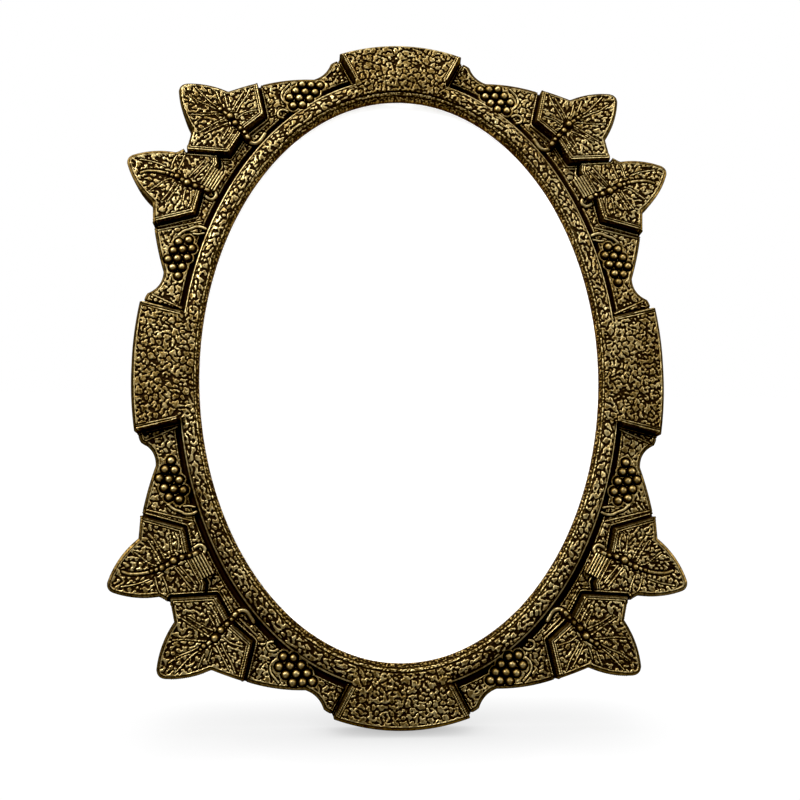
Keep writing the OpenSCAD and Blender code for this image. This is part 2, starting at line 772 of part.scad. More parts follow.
module strut_rivets() {
    color([0.70, 0.70, 0.72]) open_leg() for (s = [-1, 1], row = rivet_rows_share)
        translate([s * rivet_across, row * plate_l, 0]) {
            rivet(leg_inner + move_gap, knuckle_r + cut / 4);
            mirror([0, 0, 1]) rivet_head(-knuckle_r);
        }
}

front_casting();
glass();
picture_card();
backing_board();
board_hinge_leaf();
board_rivets();
hinge_pin();
button_screws();
turn_button_1();
turn_button_2();
turn_button_3();
turn_button_4();
turn_button_5();
turn_button_6();
ring_strap();
strap_rivet();
hanging_ring();
strut_board();
strut_hinge_leaf();
strut_rivets();
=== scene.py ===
"""Oval table-top picture frame: the look of every piece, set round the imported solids.

The casting and the stage are drawn in the plane of the frame: x to the right, y up and z out of
its face, in millimetres from the middle of its back. What is drawn there is then leaned back on
its foot and set down in metres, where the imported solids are.
"""

import math

import bpy
import numpy as np
from bpy.props import FloatProperty, FloatVectorProperty, IntProperty, PointerProperty
from mathutils import Matrix, Vector


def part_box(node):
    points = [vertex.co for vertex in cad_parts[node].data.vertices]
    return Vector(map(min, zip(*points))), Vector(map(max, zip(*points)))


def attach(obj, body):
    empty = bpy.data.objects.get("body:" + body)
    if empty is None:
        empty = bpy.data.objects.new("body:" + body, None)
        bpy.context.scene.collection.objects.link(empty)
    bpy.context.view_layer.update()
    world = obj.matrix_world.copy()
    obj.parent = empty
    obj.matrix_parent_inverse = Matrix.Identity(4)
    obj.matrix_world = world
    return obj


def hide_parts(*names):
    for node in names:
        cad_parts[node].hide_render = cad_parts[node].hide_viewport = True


bl_info = {
    "name": "Oval picture frame",
    "version": (1, 0, 0),
    "blender": (4, 5, 0),
    "location": "View3D > Sidebar > Picture frame",
    "description": "Builds the looks of an oval cast picture frame with vine leaves and grapes",
    "category": "Object",
}

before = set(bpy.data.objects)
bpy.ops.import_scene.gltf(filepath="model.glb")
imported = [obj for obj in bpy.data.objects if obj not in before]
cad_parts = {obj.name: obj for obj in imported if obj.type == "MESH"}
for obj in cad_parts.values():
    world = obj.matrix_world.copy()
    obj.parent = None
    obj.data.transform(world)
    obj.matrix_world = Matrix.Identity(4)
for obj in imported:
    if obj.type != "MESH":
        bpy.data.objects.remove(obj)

MM = 0.001

# The size that the tables below were drawn at, in millimetres from the middle
DRAWN_HALF = np.array([84.5, 105.0])

# A quarter of the outline, from the middle of the top panel to the middle of the side panel:
# x, y, and how far the stretch to the next point bows outward as a share of its length
OUTLINE = (
    (0, 105, 0.043),
    (19.3, 101.7, 0),
    (20.0, 100.5, 0.05),
    (22.3, 99.2, -0.12),
    (27.5, 93.9, 0.042),
    (45.4, 91.1, 0.01),
    (54.2, 88.0, 0.06),
    (67.0, 90.4, 0.2),
    (69.6, 87.8, 0.065),
    (65.1, 74.6, 0),
    (66.2, 69.8, -0.05),
    (69.6, 67.5, 0.065),
    (82.8, 66.4, 0.18),
    (84.5, 63.6, 0.076),
    (76.2, 51.0, 0),
    (75.9, 44.6, 0.02),
    (72.4, 29.6, -0.16),
    (76.9, 22.9, 0.05),
    (77.8, 20.9, 0),
    (78.7, 19.6, 0.023),
    (80.3, 0, 0),
)
# Rows of the outline that the leaves follow, and the leaves' inner edges
UPPER_LEAF_ROWS = (5, 10)
SIDE_LEAF_ROWS = (10, 15)
UPPER_LEAF_INNER = ((66.0, 68.0), (53.5, 67.3), (49.6, 74.0), (48.2, 75.8), (43.0, 80.3))
SIDE_LEAF_INNER = ((63.5, 48.0), (62.0, 54.4), (60.9, 56.6), (56.8, 63.8), (57.5, 68.2))
# The ends of the panels, from the rim in to the sight opening
TOP_PANEL_END = ((19.3, 101.7), (14.2, 92.0), (12.8, 83.0))
SIDE_PANEL_END = ((78.7, 19.6), (66.0, 16.4), (57.0, 14.2))
# Points that close each panel's end round the rest of the panel, beyond what the quarter shows
TOP_PANEL_REST = ((-1, 83), (-1, 110), (19.3, 110))
SIDE_PANEL_REST = ((57, -1), (90, -1), (90, 19.6))

# Midribs of the leaves, from the stem to the tip
UPPER_MIDRIB = (
    (47.6, 72.4), (48.6, 73.8), (49.9, 75.1), (51.6, 76.8), (53.2, 79.0), (54.6, 80.2),
    (56.4, 81.3), (57.2, 82.2),
)
SIDE_MIDRIB = (
    (59.4, 55.2), (61.0, 55.9), (63.3, 56.3), (65.7, 57.3), (67.3, 58.4), (68.9, 59.3),
    (71.0, 60.0), (73.6, 60.8), (76.4, 61.1), (78.6, 61.0), (80.0, 60.4),
)
# Veins of the leaves, each a line of points
UPPER_VEINS = (
    ((55.0, 79.9), (58.0, 79.7), (61.5, 79.3), (65.0, 79.5)),
    ((54.9, 78.6), (57.5, 76.9), (60.0, 75.3), (62.6, 73.6)),
    ((54.0, 76.8), (57.2, 75.5), (61.0, 73.2)),
    ((57.6, 81.4), (60.0, 82.7), (63.2, 83.8), (66.0, 85.9)),
    ((57.6, 82.4), (59.8, 84.0), (62.3, 86.6), (64.2, 88.6)),
    ((56.2, 83.4), (56.8, 85.0), (57.7, 87.2)),
    ((54.0, 82.2), (54.5, 83.6), (54.9, 85.5)),
    ((52.6, 81.2), (51.4, 83.6), (49.2, 87.6)),
    ((51.3, 80.7), (50.3, 82.9), (48.4, 85.7), (47.3, 88.6)),
    ((50.6, 79.0), (48.8, 80.5), (45.5, 81.4)),
    ((53.6, 75.3), (54.8, 73.0), (55.8, 71.3), (54.4, 72.0), (53.4, 73.4)),
    ((51.9, 74.9), (53.1, 72.4), (54.9, 69.8)),
)
SIDE_VEINS = (
    ((70.6, 58.7), (72.6, 58.2), (74.8, 56.4), (76.8, 55.0)),
    ((69.4, 57.6), (71.2, 54.3), (73.2, 51.7)),
    ((68.2, 56.8), (69.9, 54.0), (71.6, 51.4)),
    ((66.3, 55.0), (66.8, 52.6), (67.0, 50.2)),
    ((64.6, 54.6), (64.4, 51.5), (65.5, 49.4)),
    ((65.2, 59.4), (60.6, 64.9)),
    ((63.7, 58.9), (59.5, 63.7)),
    ((68.6, 61.9), (67.6, 64.0), (66.7, 67.0)),
    ((70.8, 62.0), (70.3, 64.4), (69.3, 66.2)),
    ((72.6, 62.6), (76.0, 64.0), (80.4, 64.7)),
)
# Beads on the midribs, with their radii; the largest is the first of each leaf
UPPER_BEADS = (
    (53.2, 79.0, 1.2), (51.6, 76.8, 1.0), (49.9, 75.1, 0.75), (48.6, 73.8, 0.6),
    (56.3, 81.2, 0.75),
)
SIDE_BEADS = (
    (65.7, 57.3, 1.2), (63.3, 56.3, 0.85), (61.2, 55.9, 0.65), (68.9, 59.3, 0.95),
    (71.8, 60.2, 0.6),
)
# Stems, tendrils and scrolls: their middle lines, each with its half width
CURLS = (
    (0.6, ((48.6, 73.0), (47.6, 71.9), (46.2, 71.3), (44.8, 71.5), (43.8, 72.6), (42.6, 74.6))),
    (0.5, ((61.2, 54.6), (60.0, 53.4), (58.6, 52.6), (57.4, 53.2), (57.0, 54.4), (57.6, 55.4))),
    (0.3, ((35.9, 85.0), (37.2, 86.0), (37.8, 87.6), (37.3, 89.2), (36.3, 90.3), (35.2, 91.6))),
    (0.35, ((35.6, 82.4), (36.8, 83.0), (38.2, 82.6), (38.8, 81.4), (38.2, 80.3), (37.0, 80.2))),
    (0.42, (
        (59.9, 43.2), (61.4, 43.9), (63.2, 43.9), (64.6, 43.0), (66.4, 42.6), (68.0, 41.2),
        (68.6, 40.2),
    )),
    (0.3, ((60.4, 41.8), (62.2, 41.4), (63.6, 41.6))),
)
# Grapes, row by row
TOP_GRAPES = (
    (25.6, 91.4), (28.4, 91.5), (31.2, 91.6),
    (27.1, 89.1), (30.2, 89.2), (33.2, 89.4),
    (28.8, 86.9), (32.0, 87.0), (35.1, 87.2),
    (31.0, 84.8), (33.9, 84.4),
)
SIDE_GRAPES = (
    (65.0, 39.6), (68.0, 38.9),
    (63.9, 36.9), (66.7, 36.6), (69.5, 36.2),
    (65.2, 33.9), (68.2, 33.7), (71.0, 33.4),
    (66.7, 31.0), (69.5, 30.8),
    (67.8, 28.2),
)
# Raised fine lines beside the grooves, each with its half width
FINE_LINES = (
    (0.2, ((19.9, 99.4), (15.3, 92.3))),
    (0.2, ((75.6, 22.4), (66.4, 18.1))),
    (0.2, ((41.5, 78.6), (46.6, 73.9))),
    (0.2, ((48.2, 72.4), (52.0, 65.9))),
    (0.2, ((53.5, 65.2), (64.9, 65.5), (65.7, 66.4))),
    (0.2, ((61.0, 45.8), (74.6, 42.6))),
)
# The parallel ridges where the side leaf's stem passes under the upper leaf: the middle of
# the first ridge, the step from ridge to ridge, and half a ridge's width
COMB_FIRST = ((54.5, 60.8), (57.6, 55.3))
COMB_STEP = (0.76, 0.39)
COMB_COUNT = 5
COMB_RIDGE = 0.22

# Section of the oval moulding from the sight edge out: place as a share of its width, height as a
# share of the rise from the field to the crown (less than 0 is below the field), how much it is
# worn bright, and how much it is grained
MOULDING = (
    (0.00, 0.42, 0.75, 0.9),
    (0.02, 0.50, 0.75, 0.9),
    (0.125, 0.60, 0.75, 0.9),
    (0.145, 0.50, 0.05, 0.0),
    (0.16, 0.50, 0.05, 0.0),
    (0.18, 0.76, 1.00, 0.55),
    (0.26, 0.82, 1.00, 0.55),
    (0.28, 0.66, 0.05, 0.0),
    (0.31, 0.66, 0.05, 0.0),
    (0.34, 0.97, 1.00, 1.0),
    (0.56, 1.00, 1.00, 1.0),
    (0.70, 0.88, 1.00, 1.0),
    (0.80, 0.66, 0.95, 1.0),
    (0.825, 0.36, 0.00, 0.0),
    (0.84, 0.36, 0.00, 0.0),
    (0.86, 0.42, 0.95, 0.0),
    (0.90, 0.38, 0.95, 0.0),
    (0.925, 0.00, 0.00, 0.0),
    (1.00, -0.43, 0.00, 0.0),
)
# Share of the moulding's width that the panels leave bare at the sight opening
PANEL_SHARE = 0.33
# The same share beside the middle of the side panels, where the inner lines lie closer
SIDE_SHARE = 0.22
# The share where the panels' face has risen from the moulding's crown to its own height
PANEL_RISE_END = 0.95

# How worn the finish is, from 0 in the dark hollows to 1 where it is rubbed bright; LINE_WORN also
# serves as the painted highlight of the rim's bright line
DARK = 0.0
NEAR_DARK = 0.1
SLOPE_WORN = 0.55
FIELD_WORN = 0.95
PANEL_WORN = 0.88
FINE_WORN = 0.9
LINE_WORN = 0.95
SIDE_WORN = 0.5
BACK_WORN = 0.72
BACK_EDGE_WORN = 0.9
SIGHT_WORN = 0.3
RIM_FLOOR_WORN = 0.08
CLUSTER_WORN = 0.8

# Widths on the casting, in millimetres: its grooves, slopes, fine lines and the gaps beside them
GROOVE = 1.2
PANEL_GROOVE = 1.45
PANEL_SLOPE = 0.35
LEAF_GROOVE = 1.15
LEAF_SLOPE = 0.28
DARK_EDGE = 0.16
FINE_LINE = 0.32
FINE_GAP = 0.32
VEIN_HALF = 0.17
# The low ridge in the panels' groove: where it lies, its height above the groove's floor, and
# how worn it is
PANEL_STEP = (0.62, 1.0)
STEP_HEIGHT = 0.5
STEP_WORN = 0.62
# How far the comb's dark ground reaches past half a step, how deep it lies, and how far its
# ridges lie below the leaf
COMB_LAP = 0.05
COMB_DEPTH = 0.7
COMB_DROP = 0.15
# A midrib: half its width at the stem, how much finer it is at the tip, the width and depth of the
# dark groove beside it, the height of its round top, and how worn it is at its foot and more on top
MIDRIB_HALF = 0.62
MIDRIB_TAPER = 0.35
MIDRIB_GROOVE = (0.45, 0.6)
MIDRIB_ROUND = 0.35
MIDRIB_WORN = (0.45, 0.5)
# A bead or a grape: the share of its radius that shows, the width and depth of its dark ring, how
# far its middle is sunk as a share of its radius, how far its side reaches below the ground, how
# worn it is at its side and more on top, and between which shares of the way in that grows
DOME_SHARE = 0.97
DOME_RING = (0.32, 0.6)
DOME_SUNK = 0.35
DOME_LOWEST = 0.5
DOME_WORN = (0.3, 0.6)
DOME_CROWN = (0.05, 0.7)
# How far a bead stands up more than a grape
BEAD_RISE = 0.2
# The plain ground round a cluster of grapes: its width and how far it lies below the field
CLUSTER_GROUND = (0.75, 0.1)
# The dark ground beside a scroll: its width and depth, and how worn the scroll is at its foot and
# more on top
CURL_GROUND = (0.35, 0.7)
CURL_WORN = (0.55, 0.45)
# The bevel round the outline: its width, the width of the thin line inside it that is painted
# bright as a painted highlight, and how worn it is, from the outline in
RIM_BAND = 1.1
RIM_LINE = 0.3
RIM_PLACES = (0.0, 0.15, 0.35, 0.7, 0.85, 1.0)
RIM_WORN = (0.45, 0.5, 0.66, 0.6, 0.1, 0.1)
# How far above the field, or the groove's floor beside a leaf, a face counts as raised, and how
# near the groove's floor it counts as sunk
RAISED = 0.5
SUNK = 0.2
# The most wear and grain, taken together, that the floor of a groove has
GROOVE_MARKS = 0.5
# The bevel where the outer side meets the back
EDGE_ROUND = 0.3

# Steps between the points of the outline, where the rim and a leaf's edge are measured from it
RIM_STEP = 1.5
LEAF_STEP = 0.6

# Levels of the grain between which its height and its finish go from hollow to pebble, the levels
# between which the pebbles' middles are painted darker, a painted shade that leaves their edges as
# a painted highlight, and how much darker
HEIGHT_LEVELS = (0.18, 0.56)
FINISH_LEVELS = (0.28, 0.52)
MIDDLE_LEVELS = (0.75, 1.25)
MIDDLE_SHADE = 0.3

# Rings of the mesh over the moulding, the groove, the field and the rim
FACE_RINGS = (54, 9, 114, 9)
# Rings down the outer side, as shares of its height, and the rings across the back
SIDE_RINGS = (0.85, 0.7, 0.55, 0.4, 0.25)
BACK_RINGS = 8

# Most of a noise lies between these
NOISE_RANGE = (0.3, 0.7)
# The size of the board cover's leather grain, in metres
LEATHER_PITCH = 0.0011
# The width of a scratch in sheet metal, as a share of its length
SCRATCH_SHARE = 0.06
# The dullest white of the floor
DULLEST_FLOOR = 0.995
# The lamps: each one's name, which its power goes by too, its width and height, and its place, in
# metres
LAMPS = (
    ("key", (0.35, 0.35), (-0.7, -0.45, 0.75)),
    ("fill", (0.3, 0.5), (0.85, -0.4, 0.45)),
    ("top", (0.7, 0.3), (0, -0.25, 1.0)),
    ("back", (1.4, 0.8), (0.2, 1.1, 0.45)),
)
# The point that the lamps are turned to
LIT_POINT = (0, 0, 0.1)
# How steep a direction is where the room's light begins and ends to grow, as a share of upright
ROOM_STEEPNESS = (0.1, 0.9)
SENSOR_WIDTH = 36
CLOSEST_SEEN = 0.01
FARTHEST_SEEN = 50


def length(name, description, default):
    """A size that the user can change, in metres."""
    return FloatProperty(
        name=name, description=description, default=default, min=0, precision=5, unit="LENGTH"
    )


def turn(name, description, degrees):
    """An angle that the user can change."""
    return FloatProperty(
        name=name,
        description=description,
        default=math.radians(degrees),
        unit="ROTATION",
        subtype="ANGLE",
    )


def share(name, description, default, high=1.0):
    """A plain number that the user can change."""
    return FloatProperty(name=name, description=description, default=default, min=0, max=high)


def power(name, description, default):
    """The power of a lamp, in watts."""
    return FloatProperty(name=name, description=description, default=default, min=0, unit="POWER")


def colour(name, description, default):
    """A colour that the user can change."""
    return FloatVectorProperty(
        name=name, description=description, default=default, size=3, min=0, max=1, subtype="COLOR"
    )


class CastingSizes(bpy.types.PropertyGroup):
    """Sizes of the cast front."""

    width: length("Width", "Width over the tips of the side leaves", 0.169)
    height: length("Height", "Height over the top and bottom panels", 0.210)
    side_border: length("Side border", "From the leaf tips in to the sight opening", 0.024)
    end_border: length("End border", "From the panels' tops to the sight opening", 0.0185)
    moulding_side: length("Moulding at the sides", "Width of the oval moulding there", 0.0066)
    moulding_end: length("Moulding at the ends", "Width of the oval moulding there", 0.0083)
    field: length("Fields", "Height of the fields above the back", 0.0064)
    moulding: length("Moulding", "Height of the moulding's crown above the back", 0.0092)
    panel: length("Panels", "Height of the raised panels above the back", 0.0096)
    upper_leaf: length("Upper leaves", "Height of the upper leaves above the back", 0.0090)
    side_leaf: length("Side leaves", "Height of the side leaves above the back", 0.0082)
    groove_floor: length("Groove floor", "Height of the grooves' floor above the back", 0.0052)
    rim_height: length("Rim", "Height of the outline of the raised forms above the back", 0.0076)
    rim_drop: length("Rim drop", "How far the fields fall to the outline", 0.0010)
    rebate_side: length("Rebate at the sides", "From the leaf tips in to the rebate", 0.0205)
    rebate_end: length("Rebate at the ends", "From the panels' tops in to the rebate", 0.0155)
    rebate_depth: length("Rebate depth", "Depth of the rebate from the back", 0.0057)
    grape: length("Grapes", "Diameter of a grape", 0.0026)
    grain_pitch: length("Grain pitch", "Distance between the pebbles of the grain", 0.00210)
    leaf_pitch: length("Leaf grain", "Distance between the pebbles on the leaves", 0.00185)
    ring_pitch: length("Ring grain", "Distance between the pebbles on the moulding", 0.00190)
    line_pitch: length("Line grain", "Distance between the specks on the inner lines", 0.0011)
    grain_depth: length("Grain depth", "Depth of the hollows between the pebbles", 0.00040)
    column_step: length("Mesh step", "Distance between the mesh's columns at the rim", 0.00020)
    lean: turn("Lean", "How far the frame leans back from upright", 12)
    seed: IntProperty(name="Seed", description="Seed of the grain", default=7, min=0)


class FinishColours(bpy.types.PropertyGroup):
    """Colours of the finishes."""

    brass_bright: colour("Worn brass", "Where the finish is rubbed bright", (0.80, 0.64, 0.30))
    brass_middle: colour("Brass", "The finish on the slopes", (0.29, 0.185, 0.052))
    brass_dark: colour("Dark brass", "The edge of the hollows", (0.045, 0.026, 0.005))
    hollow: colour("Hollows", "The dark paint left in the hollows", (0.020, 0.010, 0.004))
    sheen: colour("Edge tint", "The finish where it is seen at a glance", (0.60, 0.42, 0.18))
    card: colour("Card", "The blank insert card", (0.97, 0.97, 0.965))
    board: colour("Board", "The cover of the backing board and the leg", (0.032, 0.031, 0.032))
    steel: colour("Steel", "The turn buttons and the hinge", (0.62, 0.63, 0.65))
    brass_plate: colour("Screws", "The plated screws", (0.78, 0.66, 0.40))
    nickel: colour("Nickel", "The wall ring", (0.74, 0.74, 0.76))


class StageSizes(bpy.types.PropertyGroup):
    """The camera and the lights."""

    lens: FloatProperty(name="Lens", description="Focal length", default=45, min=1, unit="CAMERA")
    distance: length("Distance", "From the camera to the middle of the frame's face", 0.30156)
    face: length("Face", "Height of that face above the frame's back", 0.0075)
    across: length("Across", "How far the frame stands right of the picture's middle", 0.0004)
    above: length("Above", "How far the frame stands above the picture's middle", 0.00962)
    tilt: turn("Tilt", "How far the camera looks down on the leaning frame", 9.9606)
    pan: turn("Pan", "How far the camera stands to the side", 3.2032)
    roll: turn("Roll", "Roll of the camera", 0.4468)
    floor_size: length("Floor", "Width and depth of the floor", 6)
    key_power: power("Key light", "Power of the key light", 10)
    fill_power: power("Fill light", "Power of the fill light", 4)
    top_power: power("Top light", "Power of the top light", 5)
    back_power: power("Back light", "Power of the back light", 4)
    room_high: share("High room light", "Light of the room from above and below", 0.45, 10)
    room_low: share("Low room light", "Light of the room from the sides", 0.1, 10)
    # The floor glows instead of being lit; floor_shade and shadow_reach set the painted shadow in
    # that glow close to a piece.
    floor_glow: share("Floor light", "Light that the open floor sends back", 1.03, 10)
    floor_shade: share("Floor shade", "Light that the floor sends back under a piece", 0.5, 10)
    shadow_reach: length("Shadow reach", "How near a piece is to the floor that it darkens", 0.030)
    card_glow: share("Card light", "Light that the white card sends back", 0.5, 10)
    black_point: share("Black point", "Light below which the picture is black", 0.002)


def sizes():
    return bpy.context.scene.cast_front


def colours():
    return bpy.context.scene.frame_finish


def stage_sizes():
    return bpy.context.scene.frame_stage


# The plane of the frame


def plane_matrix():
    """Takes the plane of the frame, in metres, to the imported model's place.

    The glass lies in the plane with its middle on the plane's axis, so its box gives the place.
    """
    low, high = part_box("glass")
    lean = sizes().lean
    turned = Matrix.Rotation(math.pi / 2 - lean, 4, "X")
    middle = (Vector(low) + Vector(high)) / 2
    thickness = glass_thickness()
    depth = sizes().rebate_depth - thickness / 2
    return Matrix.Translation(middle - turned @ Vector((0, 0, depth))) @ turned


def glass_thickness():
    """The glass's thickness, from the depth of its leaning box."""
    low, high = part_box("glass")
    tall, deep = high[2] - low[2], high[1] - low[1]
    lean = sizes().lean
    return (deep * math.cos(lean) - tall * math.sin(lean)) / math.cos(2 * lean)


def half_size():
    """Half the frame's width and height, in millimetres."""
    return np.array([sizes().width, sizes().height]) / 2 / MM


def sight_half():
    """Half the width and height of the sight opening."""
    return half_size() - np.array([sizes().side_border, sizes().end_border]) / MM


def drawn(points):
    """Points of a table, drawn to the frame's own size."""
    return np.array(points, float) / DRAWN_HALF * half_size()


# Outlines and distances, all in millimetres in a quarter of the plane


def bowed(start, end, bow, step):
    """Points from start on a stretch that bows outward; the last point is left out."""
    along = end - start
    count = max(1, math.ceil(np.linalg.norm(along) / step))
    t = (np.arange(count) / count)[:, None]
    side = np.array([-along[1], along[0]])
    return start + along * t + side * (bow * 4 * t * (1 - t))


def outline_stretch(first, last, step):
    """The outline from one row to another, both ends included."""
    corners = drawn([row[:2] for row in OUTLINE])
    parts = [bowed(corners[i], corners[i + 1], OUTLINE[i][2], step) for i in range(first, last)]
    return np.minimum(np.concatenate(parts + [corners[last : last + 1]]), half_size())


def smoothed(line):
    """A line with its corners cut twice, so that it runs in a curve; its ends stay."""
    for _ in range(2):
        start, end = line[:-1], line[1:]
        cut = np.stack([start * 0.75 + end * 0.25, start * 0.25 + end * 0.75], axis=1)
        line = np.concatenate([line[:1], cut.reshape(-1, 2)[1:-1], line[-1:]])
    return line


def distance(points, line):
    """Distance of each point from a line of points."""
    line = np.asarray(line, float)
    best = np.full(len(points), np.inf)
    for start, end in zip(line[:-1], line[1:]):
        along = end - start
        apart = points - start
        t = np.clip(apart @ along / (along @ along), 0, 1)
        gap = apart - t[:, None] * along
        best = np.minimum(best, np.hypot(gap[:, 0], gap[:, 1]))
    return best


def inside(points, polygon):
    """True for each point inside a closed outline."""
    found = np.zeros(len(points), bool)
    x, y = points[:, 0], points[:, 1]
    for (x0, y0), (x1, y1) in zip(polygon, np.roll(polygon, -1, axis=0)):
        if y0 == y1:
            continue
        crosses = (y0 > y) != (y1 > y)
        found ^= crosses & (x < (x1 - x0) * (y - y0) / (y1 - y0) + x0)
    return found


def smooth_step(x, low, high):
    """0 up to low, 1 from high on, and a smooth rise between them."""
    t = np.clip((x - low) / (high - low), 0, 1)
    return t * t * (3 - 2 * t)


# Grain: the cast ground of bright, uneven pebbles with dark, winding hollows between them


class Grain:
    """Pebbles scattered one pitch apart, with their edges broken up by finer blotches."""

    # Pebbles along a side of the square that repeats
    PEBBLES = 128
    # The blotches: their pitch as a share of the pebbles', the size of a cell as a share of the
    # blotches' pitch, the cells along a side, and how far they are drawn out
    FINE = 0.64
    CELL = 0.11
    CELLS = 1536
    DIRECTIONS = 6
    STRETCH = 1.7
    # The band of sizes in the blotches, and how sharply one direction of them gives way to the next
    SPREAD = 0.5
    TURN_POWER = 8
    # The shares of the pebbles and of the blotches, where they are drawn out and where they aren't
    ROUND = (1.3, 1.6)
    ROUGH = (0.38, 0.32)

    def __init__(self, seed):
        self.random = np.random.default_rng(seed)
        self.middles = self.random.random((self.PEBBLES, self.PEBBLES, 2))
        self.plain = self.field(1, 0)
        step = math.pi / self.DIRECTIONS
        self.turns = [i * step for i in range(self.DIRECTIONS)]
        self.drawn_out = [self.field(self.STRETCH, turned) for turned in self.turns]

    def field(self, stretch, turned):
        """A seamless square of blotches, drawn out along one direction."""
        steps = np.fft.rfftfreq(self.CELLS, self.CELL)
        fx, fy = np.meshgrid(steps, np.fft.fftfreq(self.CELLS, self.CELL))
        along = (fx * math.cos(turned) + fy * math.sin(turned)) * stretch
        across = fy * math.cos(turned) - fx * math.sin(turned)
        band = np.exp(-(((np.hypot(along, across) - 1) / self.SPREAD) ** 2))
        white = self.random.standard_normal((self.CELLS, self.CELLS))
        field = np.fft.irfft2(np.fft.rfft2(white) * band, s=white.shape)
        return field / field.std()

    def sampled(self, field, x, y):
        """The field's value at each place, evened out between its four nearest cells."""
        gx, gy = x / self.CELL, y / self.CELL
        i, j = np.floor(gx).astype(int), np.floor(gy).astype(int)
        tx, ty = gx - i, gy - j
        n = self.CELLS
        i0, i1, j0, j1 = i % n, (i + 1) % n, j % n, (j + 1) % n
        low = field[j0, i0] * (1 - tx) + field[j0, i1] * tx
        high = field[j1, i0] * (1 - tx) + field[j1, i1] * tx
        return low * (1 - ty) + high * ty

    def blotches(self, x, y, direction, drawn_out):
        """Blotches at each place, drawn out along direction where drawn_out is 1."""
        plain = self.sampled(self.plain, x, y)
        total = np.zeros(len(x))
        weights = np.zeros(len(x))
        for turned, field in zip(self.turns, self.drawn_out):
            weight = np.cos(direction - turned) ** self.TURN_POWER
            total += weight * self.sampled(field, x, y)
            weights += weight**2
        return np.where(drawn_out > 0.5, total / np.sqrt(weights), plain)

    def pebbles(self, x, y):
        """How far each place lies inside its pebble; 0 is half way between two."""
        i, j = np.floor(x).astype(int), np.floor(y).astype(int)
        nearest = np.full(x.shape, np.inf)
        second = nearest.copy()
        for di in (-1, 0, 1):
            for dj in (-1, 0, 1):
                spot = self.middles[(j + dj) % self.PEBBLES, (i + di) % self.PEBBLES]
                gap = np.hypot(i + di + spot[..., 0] - x, j + dj + spot[..., 1] - y)
                second = np.minimum(second, np.maximum(nearest, gap))
                nearest = np.minimum(nearest, gap)
        return second - nearest

    def at(self, points, pitch, direction, drawn_out):
        """The grain at each place: low in the hollows and high on the pebbles."""
        x, y = (points / pitch[:, None]).T
        blotches = self.blotches(x / self.FINE, y / self.FINE, direction, drawn_out)
        round_share = np.where(drawn_out > 0.5, *self.ROUND)
        rough_share = np.where(drawn_out > 0.5, *self.ROUGH)
        return round_share * self.pebbles(x, y) + rough_share * blotches


# The relief of the cast front. Its state is a set of arrays, one value for each point: height,
# the wear with its painted highlights (0 in the dark hollows and 1 where it is rubbed bright, and
# on the painted highlights), grain (how much the ground is grained), the direction that the grain
# is drawn out in, drawn_out (1 where it is drawn out) and the grain's pitch.
CARRIED = ("height", "worn", "grain", "direction", "drawn_out", "pitch")
DIRECTION = CARRIED.index("direction")


